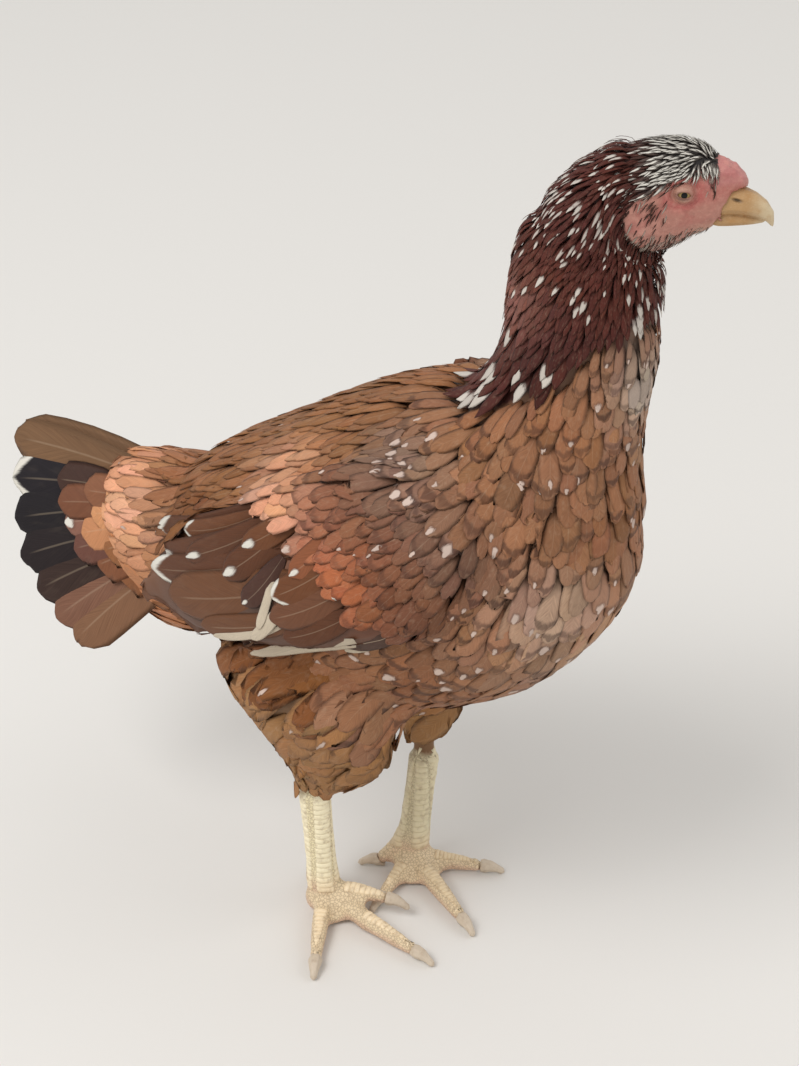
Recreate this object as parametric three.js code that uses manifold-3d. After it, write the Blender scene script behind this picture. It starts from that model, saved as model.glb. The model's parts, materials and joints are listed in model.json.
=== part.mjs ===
// A standing game hen at life size, as a still museum model, in millimetres.
// +X is the way the breast faces, +Y the bird's left and +Z up. The floor is z = 0, and the
// finished group is moved so that its origin is on the floor below the middle of its box.
// Every node is one closed solid out to the tips of the feathers. Neighbours keep a thin gap.
import * as THREE from "three";
import { ConvexGeometry } from "three/addons/geometries/ConvexGeometry.js";
import { mergeVertices } from "three/addons/utils/BufferGeometryUtils.js";
import Module from "manifold-3d";

const wasm = await Module();
wasm.setup();

// ---- driving dimensions, in millimetres and degrees ----
const GAP = 0.35; // left between touching solids

const TRUNK = {
  rear: [-122, 0, 204],
  front: [150, 0, 278],
  back: [[0, 38], [0.11, 45], [0.23, 54], [0.41, 71], [0.58, 85], [0.74, 89], [0.88, 82], [1, 64]],
  belly: [[0, 62], [0.1, 82], [0.32, 92], [0.58, 94], [0.8, 74], [1, 52]],
  flank: [[0, 38], [0.16, 55], [0.4, 71], [0.66, 75], [0.86, 67], [1, 52]],
};
const NECK = {
  // The hackle cape: low on the back, narrow behind the throat, turning to the bird's left.
  path: [[86, 0, 262], [98, 0, 318], [112, 2, 362], [117, 4, 404], [127, 8, 444]],
  nape: [[0, 60], [0.25, 49], [0.5, 36], [0.72, 35], [0.92, 39], [1, 34]],
  throat: [[0, 65], [0.25, 56], [0.5, 41], [0.75, 35], [1, 27]],
  side: [[0, 62], [0.25, 50], [0.5, 36], [0.75, 29], [1, 20]],
  capeCut: { at: [100, 0, 338], lean: -24 }, // the cape's hem: a plane that rises forward
  headCut: { at: [-22, 0, -6], lean: 38 }, // behind the face, in the head's own frame
};
const HEAD = {
  between_eyes: [153, 20, 457],
  heading: 25, // turned to the bird's left
  path: [[-52, 0, -44], [-40, 0, -12], [-10, 0, -3], [26, 0, -5]],
  crown: [[0, 16], [0.25, 18], [0.5, 22], [0.68, 27], [0.79, 26], [0.87, 20], [0.94, 12], [1, 8]],
  jaw: [[0, 26], [0.3, 28], [0.6, 30], [0.74, 25], [0.84, 18], [1, 10]],
  cheek: [[0, 26], [0.25, 24], [0.55, 19], [0.72, 14], [0.86, 10], [1, 7]],
};
const EYE = { radius: 5.2, out: 9.8, up: 2 };
const COMB = {
  path: [[9, 0, 12], [19, 0, 9.5], [29, 0, 1]],
  height: 4.5,
  taper: 0.45, // the share of its height that it loses towards the beak
  half: 6.5,
  root: 5, // how deep it sits in the head
  bumps: 4,
  swell: 0.13,
};
const BEAK = {
  upper: { path: [[12, 0, -8], [25, 0, -7.5], [35.5, 0, -11], [40, 0, -17]], across: 6.5, above: 9.5, below: 4 },
  lower: { path: [[12, 0, -14], [25, 0, -14], [36, 0, -15]], across: 5.5, above: 4, below: 3.4 },
};

const WING = {
  shoulder: [100, 60, 300],
  tip: [-106, 53, 196],
  bow: 17, // how far the closed wing bellies out sideways
  lean: 17, // its upper edge is tucked in over the back
  thickness: [[0, 14], [0.3, 17], [0.7, 12], [1, 6]],
  upper: [[0, 38], [0.25, 50], [0.6, 44], [0.85, 29], [1, 14]],
  lower: [[0, 34], [0.3, 43], [0.6, 38], [0.85, 28], [1, 16]],
};
// The long wing feathers that show below the closed wing, from the rearmost to the foremost.
const QUILLS = {
  count: 3,
  base: [[-20, 74, 232], [24, 66, 220]],
  tip: [[-112, 55, 192], [-40, 66, 184]],
  across: [-0.3, 0.18, 1],
  half: 13,
  thick: 2.2,
  sag: 3,
};
const TAIL = {
  root: [-104, 0, 206],
  rootSpread: 12, // how far the roots of the top and the lowest feather lie above and below that
  quills: 7,
  length: [126, 119, 95], // the top, the middle and the lowest feather
  rise: [2, -46], // angle above level of the top and the lowest feather
  flare: [2, 24], // angle out to the side
  half: 17,
  thick: 1.5,
  arch: 4,
  keel: 1, // how far the top feathers stand from the middle plane
  step: 0.8, // each feather lies this much further out than the one above it
};
const VANE = [[0, 0.35], [0.35, 0.8], [0.8, 1], [1, 0.9]]; // width of a stiff feather from its root
const COVERTS = {
  path: [[-172, 0, 182], [-138, 0, 190], [-92, 0, 204]],
  upper: [[0, 32], [0.4, 49], [0.8, 47], [1, 42]],
  lower: [[0, 32], [0.4, 58], [0.75, 64], [1, 52]],
  side: [[0, 14], [0.4, 29], [1, 42]],
};

// The feathered thigh narrows fast above its hem, where the bare shank comes out.
const THIGH = {
  front: [[0, 50], [0.23, 57], [0.44, 56], [0.58, 53], [0.68, 48], [0.75, 41], [0.85, 24], [1, 11]],
  rear: [[0, 55], [0.2, 55], [0.34, 43], [0.44, 31], [0.56, 21], [0.66, 14], [0.78, 11], [1, 11]],
  side: [[0, 34], [0.23, 34], [0.44, 29], [0.6, 23], [0.75, 16], [0.88, 11.5], [1, 10]],
};
const SHANK = {
  half: 8.3,
  flare: [[0, 1.2], [0.15, 1.08], [0.5, 1], [0.8, 1.05], [1, 1.3]],
  sideways: 0.9, // it is a little narrower sideways, and deeper behind
  behind: 1.08,
};
// Where each leg stands, and the compass of its toes: 0 is straight ahead, + is to the left.
// A curled toe reaches less far. The right inner toe lies across the tip of the left one.
const LEGS = {
  right: {
    hip: [-10, -46, 188],
    forward: 1, // how much of the full bulge its thigh has at the front
    hem: [-14, -33, 80],
    hock: [-14, -34, 96],
    foot: [-12, -29, 12],
    toes: { inner: 19, middle: -8, outer: -62, hind: 130 },
    curled: { middle: 1.1 },
    lifted: { inner: 7.5 },
  },
  left: {
    hip: [-10, 46, 188],
    forward: 0.75,
    hem: [13.5, 35, 70],
    hock: [14, 38, 96],
    foot: [12, 25, 12],
    toes: { inner: -87, middle: -29, outer: 24, hind: -149 },
    curled: { inner: 0.97, middle: 0.94, outer: 0.82 },
    lifted: {},
  },
};
const TOES = {
  inner: { length: 37, half: 4.7, joints: 2, root: 11, arch: 1.5 },
  middle: { length: 61, half: 5.2, joints: 3, root: 11, arch: 1.5 },
  outer: { length: 50, half: 4.8, joints: 3, root: 11, arch: 1.5 },
  hind: { length: 19, half: 5.2, joints: 1, root: 26, arch: 11 }, // joins the shank higher up
};
const WEB = { reach: [7, 22], inset: 1.6, height: 3, half: 1.8 }; // the skin between two front toes

const CLAW = { length: 15, half: 3.3, sunk: 4, heights: [4.2, 4.6, 1.6] };
const PAD = { half: 11, height: 10, up: 7.5 };

const SKIN = {
  flesh: { color: 0xb5615a, roughness: 0.65, metalness: 0 },
  comb: { color: 0xb8454f, roughness: 0.6, metalness: 0 },
  beak: { color: 0xc79a4e, roughness: 0.45, metalness: 0 },
  eye: { color: 0x6b5a36, roughness: 0.15, metalness: 0 },
  hackle: { color: 0x4b2620, roughness: 0.7, metalness: 0 },
  body: { color: 0x9a6242, roughness: 0.75, metalness: 0 },
  wing: { color: 0x8a5238, roughness: 0.7, metalness: 0 },
  tail: { color: 0x3f302d, roughness: 0.65, metalness: 0 },
  shank: { color: 0xd2b684, roughness: 0.6, metalness: 0 },
  claw: { color: 0xb6a08a, roughness: 0.5, metalness: 0 },
};

// ---- small helpers ----
const V = (p) => new THREE.Vector3(...p);
const rad = THREE.MathUtils.degToRad;
const mix = THREE.MathUtils.lerp;
const mirrorY = ([x, y, z], side) => [x, y * side, z];

// A smooth curve through [place, value] pairs: a cubic with slopes taken from the neighbours.
function through(pairs) {
  const slope = (i) => {
    const a = pairs[Math.max(i - 1, 0)];
    const b = pairs[Math.min(i + 1, pairs.length - 1)];
    return (b[1] - a[1]) / (b[0] - a[0]);
  };
  return (place) => {
    let i = pairs.findIndex((p) => p[0] >= place);
    i = Math.max(i < 0 ? pairs.length - 1 : i, 1);
    const [x0, y0] = pairs[i - 1];
    const [x1, y1] = pairs[i];
    const span = x1 - x0;
    const u = THREE.MathUtils.clamp((place - x0) / span, 0, 1);
    const h = u * u * (3 - 2 * u);
    const early = slope(i - 1) * span * u * (1 - u) ** 2;
    const late = slope(i) * span * u * u * (u - 1);
    return mix(y0, y1, h) + early + late;
  };
}

// Rounds the two ends of a swept body: 0 at its ends, 1 beyond a and b of its length.
function capped(place, a, b) {
  const start = place < a ? Math.sqrt(Math.max(0, 1 - (1 - place / a) ** 2)) : 1;
  const end = 1 - place < b ? Math.sqrt(Math.max(0, 1 - (1 - (1 - place) / b) ** 2)) : 1;
  return start * end;
}

// A body swept along a path: a sphere whose latitude runs along the path and whose longitude
// runs round it. half(place) gives its half sizes sideways, above and below, grow fattens it.
function sweep({ path, side, half, caps = [0.2, 0.2], sectors = 16, rings = 12, grow = 0 }) {
  const curve = path.getPoint ? path : new THREE.CatmullRomCurve3(path.map(V));
  const geometry = new THREE.SphereGeometry(1, sectors, rings);
  const spots = geometry.attributes.position;
  for (let i = 0; i < spots.count; i++) {
    const polar = Math.acos(THREE.MathUtils.clamp(spots.getY(i), -1, 1));
    const place = (1 - Math.cos(polar)) / 2;
    const round = Math.atan2(spots.getZ(i), spots.getX(i));
    const centre = curve.getPointAt(place);
    const ahead = curve.getTangentAt(place);
    const across = V(typeof side === "function" ? side(place) : side);
    across.addScaledVector(ahead, -across.dot(ahead)).normalize();
    const above = new THREE.Vector3().crossVectors(ahead, across);
    const size = half(place);
    const shrink = capped(place, ...caps);
    const tall = Math.sin(round) > 0 ? size.above : size.below;
    centre.addScaledVector(across, (size.across * shrink + grow) * Math.cos(round) * Math.sign(shrink));
    centre.addScaledVector(above, (tall * shrink + grow) * Math.sin(round) * Math.sign(shrink));
    centre.addScaledVector(ahead, grow * (place < 0.5 ? -1 : 1) * (1 - shrink));
    spots.setXYZ(i, centre.x, centre.y, centre.z);
  }
  return geometry;
}

const even = (size) => ({ across: size, above: size, below: size });

// A closed three.js geometry as a manifold-3d solid, whichever way round its faces are.
function solid(geometry) {
  const bare = geometry.clone();
  bare.deleteAttribute("normal");
  bare.deleteAttribute("uv");
  const merged = mergeVertices(bare, 1e-3);
  const corners = new Uint32Array(merged.index.array);
  const build = () =>
    new wasm.Manifold(
      new wasm.Mesh({
        numProp: 3,
        vertProperties: merged.attributes.position.array,
        triVerts: corners,
      }),
    );
  const made = build();
  if (made.volume() > 0) return made;
  for (let i = 0; i < corners.length; i += 3)
    [corners[i + 1], corners[i + 2]] = [corners[i + 2], corners[i + 1]];
  return build();
}

const join = (parts) => parts.reduce((all, part) => all.add(part));
const without = (part, others) => others.reduce((left, other) => left.subtract(other), part);

// The largest single body of a solid, which drops the crumbs that a cut can leave.
function largest(part) {
  const bodies = part.decompose();
  return bodies.reduce((best, body) => (body.volume() > best.volume() ? body : best));
}

// A slab that fills one side of a plane. The plane leans from level about the Y axis.
function halfSpace(at, lean, upward, matrix = new THREE.Matrix4(), clearance = 0) {
  const reach = 900;
  const slab = new THREE.BoxGeometry(reach, reach, reach);
  slab.translate(0, 0, (reach / 2 + clearance) * (upward ? 1 : -1));
  slab.rotateY(rad(lean));
  slab.translate(...at);
  slab.applyMatrix4(matrix);
  return solid(slab);
}

function meshOf(name, part, look) {
  const data = part.getMesh();
  const spots = new Float32Array(data.numVert * 3);
  for (let i = 0; i < data.numVert; i++)
    spots.set(data.vertProperties.subarray(i * data.numProp, i * data.numProp + 3), i * 3);
  const geometry = new THREE.BufferGeometry();
  geometry.setAttribute("position", new THREE.BufferAttribute(spots, 3));
  geometry.setIndex(new THREE.BufferAttribute(new Uint32Array(data.triVerts), 1));
  geometry.computeVertexNormals();
  const mesh = new THREE.Mesh(geometry, new THREE.MeshStandardMaterial(SKIN[look]));
  mesh.name = name;
  return mesh;
}

// ---- the head, in its own frame: +X to the beak, origin between the eyes ----
const headPose = new THREE.Matrix4()
  .makeTranslation(...HEAD.between_eyes)
  .multiply(new THREE.Matrix4().makeRotationZ(rad(HEAD.heading)));
const posed = (geometry) => solid(geometry.applyMatrix4(headPose));

function skull() {
  const crown = through(HEAD.crown);
  const jaw = through(HEAD.jaw);
  const cheek = through(HEAD.cheek);
  return posed(
    sweep({
      path: HEAD.path,
      side: [0, 1, 0],
      half: (d) => ({ across: cheek(d), above: crown(d), below: jaw(d) }),
      caps: [0.25, 0.12],
      sectors: 16,
      rings: 14,
    }),
  );
}

function eyeBall(side, grow = 0) {
  const ball = new THREE.SphereGeometry(EYE.radius + grow, 10, 7);
  ball.translate(0, EYE.out * side, EYE.up);
  return posed(ball);
}

function pillow(grow = 0) {
  // A pea comb: a low ridge with a row of small swellings along it.
  return posed(
    sweep({
      path: COMB.path,
      side: [0, 1, 0],
      half: (d) => {
        const swell = 1 + COMB.swell * Math.cos(d * COMB.bumps * 2 * Math.PI);
        const height = COMB.height * (1 - COMB.taper * d);
        return { across: COMB.half * swell, above: height * swell, below: COMB.root };
      },
      caps: [0.4, 0.4],
      sectors: 8,
      rings: 12,
      grow,
    }),
  );
}

// One half of the beak, full at its root and narrowing faster and faster to its tip.
function beakHalf({ path, across, above, below }, grow = 0) {
  return posed(
    sweep({
      path,
      side: [0, 1, 0],
      half: (d) => {
        const taper = Math.max(0.12, 1 - d ** 2.5);
        return { across: across * taper, above: above * taper, below: below * taper };
      },
      caps: [0.15, 0.12],
      sectors: 10,
      rings: 11,
      grow,
    }),
  );
}

// ---- trunk and neck ----
function trunkBody(grow = 0) {
  const back = through(TRUNK.back);
  const belly = through(TRUNK.belly);
  const flank = through(TRUNK.flank);
  return solid(
    sweep({
      path: new THREE.LineCurve3(V(TRUNK.rear), V(TRUNK.front)),
      side: [0, 1, 0],
      half: (d) => ({ across: flank(d), above: back(d), below: belly(d) }),
      caps: [0.22, 0.25],
      sectors: 20,
      rings: 16,
      grow,
    }),
  );
}

function neckBody(grow = 0) {
  const nape = through(NECK.nape);
  const throat = through(NECK.throat);
  const side = through(NECK.side);
  const turn = (d) => {
    const angle = rad(HEAD.heading) * d;
    return [-Math.sin(angle), Math.cos(angle), 0];
  };
  return solid(
    sweep({
      path: NECK.path,
      side: turn,
      half: (d) => ({ across: side(d), above: nape(d), below: throat(d) }),
      caps: [0.2, 0.15],
      sectors: 18,
      rings: 14,
      grow,
    }),
  );
}

// ---- wings and tail ----
// One stiff feather: a thin lens that tapers to a round tip, flat across its width.
function stiffFeather({ base, tip, half, thick, across, sag }) {
  const middle = V(base).lerp(V(tip), 0.55);
  middle.z -= sag;
  const width = through(VANE);
  return solid(
    sweep({
      path: [base, middle.toArray(), tip],
      side: across,
      half: (d) => ({ across: width(d) * half, above: thick, below: thick }),
      caps: [0.06, 0.16],
      sectors: 6,
      rings: 5,
    }),
  );
}

function wingBody(side, grow = 0) {
  const thickness = through(WING.thickness);
  const upper = through(WING.upper);
  const lower = through(WING.lower);
  const from = V(mirrorY(WING.shoulder, side));
  const to = V(mirrorY(WING.tip, side));
  const middle = from.clone().lerp(to, 0.42);
  middle.y += WING.bow * side;
  const arm = sweep({
    path: [to.toArray(), middle.toArray(), from.toArray()],
    side: [0, Math.cos(rad(WING.lean)), Math.sin(rad(WING.lean)) * side],
    half: (d) => ({ across: thickness(1 - d), above: upper(1 - d), below: lower(1 - d) }),
    caps: [0.16, 0.2],
    sectors: 12,
    rings: 11,
    grow,
  });
  const between = ([first, last], place) => V(mirrorY(first, side)).lerp(V(mirrorY(last, side)), place);
  const quills = Array.from({ length: QUILLS.count }, (_, i) => {
    const place = i / (QUILLS.count - 1);
    return stiffFeather({
      base: between(QUILLS.base, place).toArray(),
      tip: between(QUILLS.tip, place).toArray(),
      half: QUILLS.half,
      thick: QUILLS.thick + grow,
      across: mirrorY(QUILLS.across, side),
      sag: QUILLS.sag,
    });
  });
  return join([solid(arm), ...quills]);
}

const tailRoot = (place) => V(TAIL.root).setZ(TAIL.root[2] + mix(1, -1, place) * TAIL.rootSpread);

// Where the tail's edge lies, from the top feather at 0 to the lowest at 1.
function tailTip(place, side) {
  const [top, middle, lowest] = TAIL.length;
  const length = through([[0, top], [0.5, middle], [1, lowest]])(place);
  const rise = rad(mix(...TAIL.rise, place));
  const flare = rad(mix(...TAIL.flare, place));
  const way = new THREE.Vector3(
    -Math.cos(rise) * Math.cos(flare),
    Math.sin(flare) * side,
    Math.sin(rise) * Math.cos(flare),
  );
  return tailRoot(place).addScaledVector(way, length);
}

function tailHalf(side) {
  const fan = Array.from({ length: TAIL.quills }, (_, i) => {
    const place = i / (TAIL.quills - 1);
    const tip = tailTip(place, side);
    const across = tailTip(place - 0.05, side).sub(tailTip(place + 0.05, side)).normalize();
    const out = new THREE.Vector3(0, (TAIL.keel + i * TAIL.step) * side, 0);
    return stiffFeather({
      base: tailRoot(place).add(out).toArray(),
      tip: tip.add(out).toArray(),
      half: TAIL.half,
      thick: TAIL.thick,
      across: across.toArray(),
      sag: -TAIL.arch,
    });
  });
  return join(fan);
}

function covertCushion(grow = 0) {
  const upper = through(COVERTS.upper);
  const lower = through(COVERTS.lower);
  const side = through(COVERTS.side);
  return solid(
    sweep({
      path: COVERTS.path,
      side: [0, 1, 0],
      half: (d) => ({ across: side(d), above: upper(d), below: lower(d) }),
      caps: [0.3, 0.1],
      sectors: 12,
      rings: 9,
      grow,
    }),
  );
}

// ---- legs and feet ----
function thighBody(leg, grow = 0) {
  const front = through(THIGH.front);
  const rear = through(THIGH.rear);
  const sideways = through(THIGH.side);
  return solid(
    sweep({
      path: new THREE.LineCurve3(V(leg.hip), V(leg.hem)),
      side: [0, 1, 0],
      half: (d) => ({ across: sideways(d), above: front(d) * leg.forward, below: rear(d) }),
      caps: [0.12, 0.08],
      sectors: 12,
      rings: 12,
      grow,
    }),
  );
}

function shankBody(leg, grow = 0) {
  const width = through(SHANK.flare);
  return solid(
    sweep({
      path: [leg.hock, V(leg.hock).lerp(V(leg.foot), 0.5).toArray(), leg.foot],
      side: [0, 1, 0],
      half: (d) => ({
        across: SHANK.half * width(d) * SHANK.sideways,
        above: SHANK.half * width(d),
        below: SHANK.half * width(d) * SHANK.behind,
      }),
      caps: [0.06, 0.08],
      sectors: 10,
      rings: 6,
      grow,
    }),
  );
}

function soleBody(leg, grow = 0) {
  const ball = new THREE.SphereGeometry(1, 10, 7);
  ball.scale(PAD.half + grow, PAD.half + grow, PAD.height + grow);
  ball.translate(leg.foot[0], leg.foot[1], PAD.up);
  return solid(ball);
}

// The line of a toe and its claw: how far along it, and how high, for either leg.
function toeLine(leg, name) {
  const compass = rad(leg.toes[name]);
  const way = [Math.cos(compass), Math.sin(compass)];
  return {
    lifted: leg.lifted[name] ?? 0,
    length: TOES[name].length * (leg.curled[name] ?? 1),
    side: [-way[1], way[0], 0],
    spot: (far, height) => [leg.foot[0] + way[0] * far, leg.foot[1] + way[1] * far, height],
  };
}

// The skin stretched between the roots of two toes.
function webBody(leg, one, other, grow = 0) {
  const corners = [WEB.reach[0] - grow, WEB.reach[1] + grow].flatMap((far) => {
    const from = V(toeLine(leg, one).spot(far, WEB.height));
    const to = V(toeLine(leg, other).spot(far, WEB.height));
    const inwards = to.clone().sub(from).setLength(WEB.inset - grow);
    return [from.add(inwards), to.sub(inwards)];
  });
  const rise = new THREE.Vector3(0, 0, WEB.half + grow);
  return solid(new ConvexGeometry(corners.flatMap((at) => [at.clone().add(rise), at.clone().sub(rise)])));
}

const footBody = (leg, grow = 0) =>
  join([
    soleBody(leg, grow),
    webBody(leg, "inner", "middle", grow),
    webBody(leg, "middle", "outer", grow),
  ]);

function toeBody(leg, name, grow = 0) {
  const { half, joints, root, arch } = TOES[name];
  const { lifted, length, side, spot } = toeLine(leg, name);
  const knuckles = (d) => 1 + 0.08 * Math.cos(2 * Math.PI * joints * d);
  const width = through([[0, half * 1.15], [0.5, half], [1, half * 0.8]]);
  return solid(
    sweep({
      path: [
        spot(3, root),
        spot(length * 0.4, half + arch + lifted),
        spot(length * 0.75, half + arch * 0.3 + lifted),
        spot(length, half * 0.75 + lifted),
      ],
      side,
      half: (d) => even(width(d) * knuckles(d)),
      caps: [0.1, 0.12],
      sectors: 8,
      rings: 7,
      grow,
    }),
  );
}

function clawBody(leg, name) {
  const { lifted, length, side, spot } = toeLine(leg, name);
  const start = length - CLAW.sunk;
  const [high, middle, low] = CLAW.heights;
  return solid(
    sweep({
      path: [
        spot(start, high + lifted),
        spot(start + CLAW.length * 0.55, middle + lifted * 0.9),
        spot(start + CLAW.length, low + lifted * 0.7),
      ],
      side,
      half: (d) => even(CLAW.half * Math.max(0.3, 1 - d ** 1.6)),
      caps: [0.12, 0.1],
      sectors: 6,
      rings: 6,
    }),
  );
}

// ---- parting the bird into its nodes ----
const nodes = [];
const add = (name, part, look) => nodes.push(meshOf(name, largest(part), look));

const eyes = { right: eyeBall(-1), left: eyeBall(1) };
const sockets = [eyeBall(-1, GAP), eyeBall(1, GAP)];
const bill = beakHalf(BEAK.upper);
const grownBill = beakHalf(BEAK.upper, GAP);
const comb = without(pillow(), [grownBill]);
const jaw = without(beakHalf(BEAK.lower), [grownBill]);
const mouth = [grownBill, beakHalf(BEAK.lower, GAP)];

// Head and neck are one form, parted behind the face. Neck and trunk part at the cape's hem.
const behindFace = (gap) => halfSpace(NECK.headCut.at, 90 - NECK.headCut.lean, true, headPose, gap);
const capeAbove = (gap) => halfSpace(NECK.capeCut.at, NECK.capeCut.lean, true, undefined, gap);
const headAndNeck = join([skull(), neckBody()]);
const head = headAndNeck.intersect(behindFace(GAP));
const neck = without(headAndNeck, [behindFace(0)]).intersect(capeAbove(GAP));
const shoulders = without(join([trunkBody(), neckBody()]), [neckBody(GAP).intersect(capeAbove(0))]);

add("head", without(head, [...sockets, pillow(GAP), ...mouth]), "flesh");
add("comb", comb, "comb");
add("beak_upper", bill, "beak");
add("beak_lower", jaw, "beak");
add("eye_right", eyes.right, "eye");
add("eye_left", eyes.left, "eye");
add("neck", neck, "hackle");

const grownTrunk = trunkBody(GAP);
const cushion = without(covertCushion(), [grownTrunk]);
add("trunk", shoulders, "body");
add("tail_coverts", cushion, "body");
const beforeTail = [grownTrunk, covertCushion(GAP), wingBody(-1, GAP), wingBody(1, GAP)];
add("tail_fan", without(join([tailHalf(-1), tailHalf(1)]), beforeTail), "tail");
const floor = halfSpace([0, 0, 0], 0, false);
for (const [name, side] of [["right", -1], ["left", 1]]) {
  const leg = LEGS[name];
  const wing = without(wingBody(side), [grownTrunk, join([skull(), neckBody()])]);
  add("wing_" + name, wing, "wing");
  const thigh = without(thighBody(leg), [grownTrunk, wingBody(side, GAP)]);
  add("thigh_" + name, thigh, "body");
  add("shank_" + name, without(shankBody(leg), [thighBody(leg, GAP), footBody(leg, GAP)]), "shank");
  add("foot_" + name, without(footBody(leg), [floor]), "shank");
  const placed = [footBody(leg, GAP), shankBody(leg, GAP)];
  for (const toe of Object.keys(TOES)) {
    const flesh = without(toeBody(leg, toe), [floor, ...placed]);
    add("toe_" + toe + "_" + name, flesh, "shank");
    const claw = without(clawBody(leg, toe), [floor, toeBody(leg, toe, GAP)]);
    add("claw_" + toe + "_" + name, claw, "claw");
    placed.push(toeBody(leg, toe, GAP));
  }
}

const hen = new THREE.Group();
hen.add(...nodes);
const box = new THREE.Box3().setFromObject(hen);
const centre = box.getCenter(new THREE.Vector3());
hen.position.set(-centre.x, -centre.y, -box.min.z);

export default hen;
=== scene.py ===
"""A standing game hen at life size, as a still museum model: skin, plumage, bill, scutes, claws and eyes.

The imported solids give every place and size. One skin lies inside them by the depth of the plumage,
and feathers of solid mesh are laid over it, tract by tract, along the way that plumage grows.
Everything is in metres, +X towards the breast, +Y to the bird's left and +Z up.
"""
import json
import logging
import math
from contextlib import contextmanager
from dataclasses import dataclass, field
from enum import IntEnum
from typing import Any, Callable, Iterable, Iterator, Sequence

import bpy
import numpy as np
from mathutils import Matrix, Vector
from mathutils.bvhtree import BVHTree


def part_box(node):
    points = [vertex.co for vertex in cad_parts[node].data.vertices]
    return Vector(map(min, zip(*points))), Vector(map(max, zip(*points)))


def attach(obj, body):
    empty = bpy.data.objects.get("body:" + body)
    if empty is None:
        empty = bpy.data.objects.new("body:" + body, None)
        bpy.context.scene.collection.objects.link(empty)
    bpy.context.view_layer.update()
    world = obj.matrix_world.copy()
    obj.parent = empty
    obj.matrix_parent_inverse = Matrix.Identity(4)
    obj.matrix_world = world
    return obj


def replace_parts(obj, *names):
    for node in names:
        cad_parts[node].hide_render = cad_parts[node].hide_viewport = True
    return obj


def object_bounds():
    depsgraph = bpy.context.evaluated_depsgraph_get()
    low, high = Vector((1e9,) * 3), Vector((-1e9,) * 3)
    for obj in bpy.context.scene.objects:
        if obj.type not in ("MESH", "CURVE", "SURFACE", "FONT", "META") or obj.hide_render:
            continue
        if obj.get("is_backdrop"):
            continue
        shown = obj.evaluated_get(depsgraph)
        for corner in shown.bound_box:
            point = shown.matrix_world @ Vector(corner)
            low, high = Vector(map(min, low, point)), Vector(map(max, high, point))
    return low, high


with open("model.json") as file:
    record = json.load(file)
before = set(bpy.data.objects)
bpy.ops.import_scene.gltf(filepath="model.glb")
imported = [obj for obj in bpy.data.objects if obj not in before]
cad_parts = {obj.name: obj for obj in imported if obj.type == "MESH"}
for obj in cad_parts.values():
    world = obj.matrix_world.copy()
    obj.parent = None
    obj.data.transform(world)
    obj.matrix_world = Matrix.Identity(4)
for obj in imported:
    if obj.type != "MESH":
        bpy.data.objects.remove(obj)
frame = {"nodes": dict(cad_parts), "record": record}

LOG = logging.getLogger("hen")
MM = 0.001
SEED = 7041
SIDES = {"right": -1.0, "left": 1.0}
TOE_NAMES = ("inner", "middle", "outer", "hind")
FLESH = ["head", "comb", "neck", "trunk", "tail_coverts"] + [
    f"{part}_{side}" for side in SIDES for part in ("wing", "thigh", "shank", "foot")
] + [f"toe_{toe}_{side}" for side in SIDES for toe in TOE_NAMES]

Colour = Place = tuple[float, float, float]
Mesh = tuple[np.ndarray, np.ndarray]


def srgb(code: str) -> Colour:
    """Turns a hex colour into linear red, green and blue.

    Args:
        code: the colour as six hex digits.

    Returns:
        The colour in linear light.
    """
    parts = [int(code[i:i + 2], 16) / 255 for i in (0, 2, 4)]
    return tuple(p / 12.92 if p <= 0.04045 else ((p + 0.055) / 1.055) ** 2.4 for p in parts)


def smooth(value: Any, low: float, high: float) -> Any:
    """A smooth step from 0 at low to 1 at high, on a number or an array."""
    t = np.clip((value - low) / (high - low), 0, 1)
    return t * t * (3 - 2 * t)


def unit(vectors: np.ndarray) -> np.ndarray:
    """The same vectors at length 1."""
    return vectors / np.maximum(np.linalg.norm(vectors, axis=-1, keepdims=True), 1e-12)


def blend(first: Any, second: Any, share: np.ndarray) -> np.ndarray:
    """Colours that run from the first at share 0 to the second at share 1."""
    return np.asarray(first) * (1 - share) + np.asarray(second) * share


def mound(x: np.ndarray, z: np.ndarray, middle: tuple[float, float],
          reach: tuple[float, float]) -> np.ndarray:
    """A smooth mound of height 1 round a middle, with its reach along both axes."""
    return np.exp(-(((x - middle[0]) / reach[0]) ** 2 + ((z - middle[1]) / reach[1]) ** 2))


def corners(node: str) -> tuple[np.ndarray, np.ndarray]:
    """The lowest and the highest corner of a solid's box, in metres."""
    low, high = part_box(node)
    return np.array(low), np.array(high)


def shares(node: str, places: np.ndarray) -> np.ndarray:
    """Places as shares of a solid's box from its lowest corner."""
    low, high = corners(node)
    return (places - low) / (high - low)


def spot(node: str, at: Place, mirrored: bool = False) -> np.ndarray:
    """A place in a solid's box.

    Args:
        node: the solid's name.
        at: shares of the box along X, Y and Z, from its lowest corner.
        mirrored: whether the same place on the bird's left is meant.

    Returns:
        The point in metres.
    """
    x, y, z = at
    low, high = corners(node.replace("right", "left") if mirrored else node)
    return low + (high - low) * np.array((x, 1 - y if mirrored else y, z))


# ---------------------------------------------------------------- mesh helpers
def deselect() -> None:
    """Leaves edit mode and selects nothing."""
    if bpy.context.object and bpy.context.object.mode != "OBJECT":
        bpy.ops.object.mode_set(mode="OBJECT")
    bpy.ops.object.select_all(action="DESELECT")


def activate(obj: bpy.types.Object) -> None:
    """Selects one object alone and makes it the active one."""
    deselect()
    obj.select_set(True)
    bpy.context.view_layer.objects.active = obj


@contextmanager
def editing(obj: bpy.types.Object) -> Iterator[None]:
    """Edits one mesh, with all of it selected."""
    activate(obj)
    bpy.ops.object.mode_set(mode="EDIT")
    bpy.ops.mesh.select_all(action="SELECT")
    yield
    bpy.ops.object.mode_set(mode="OBJECT")


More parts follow.
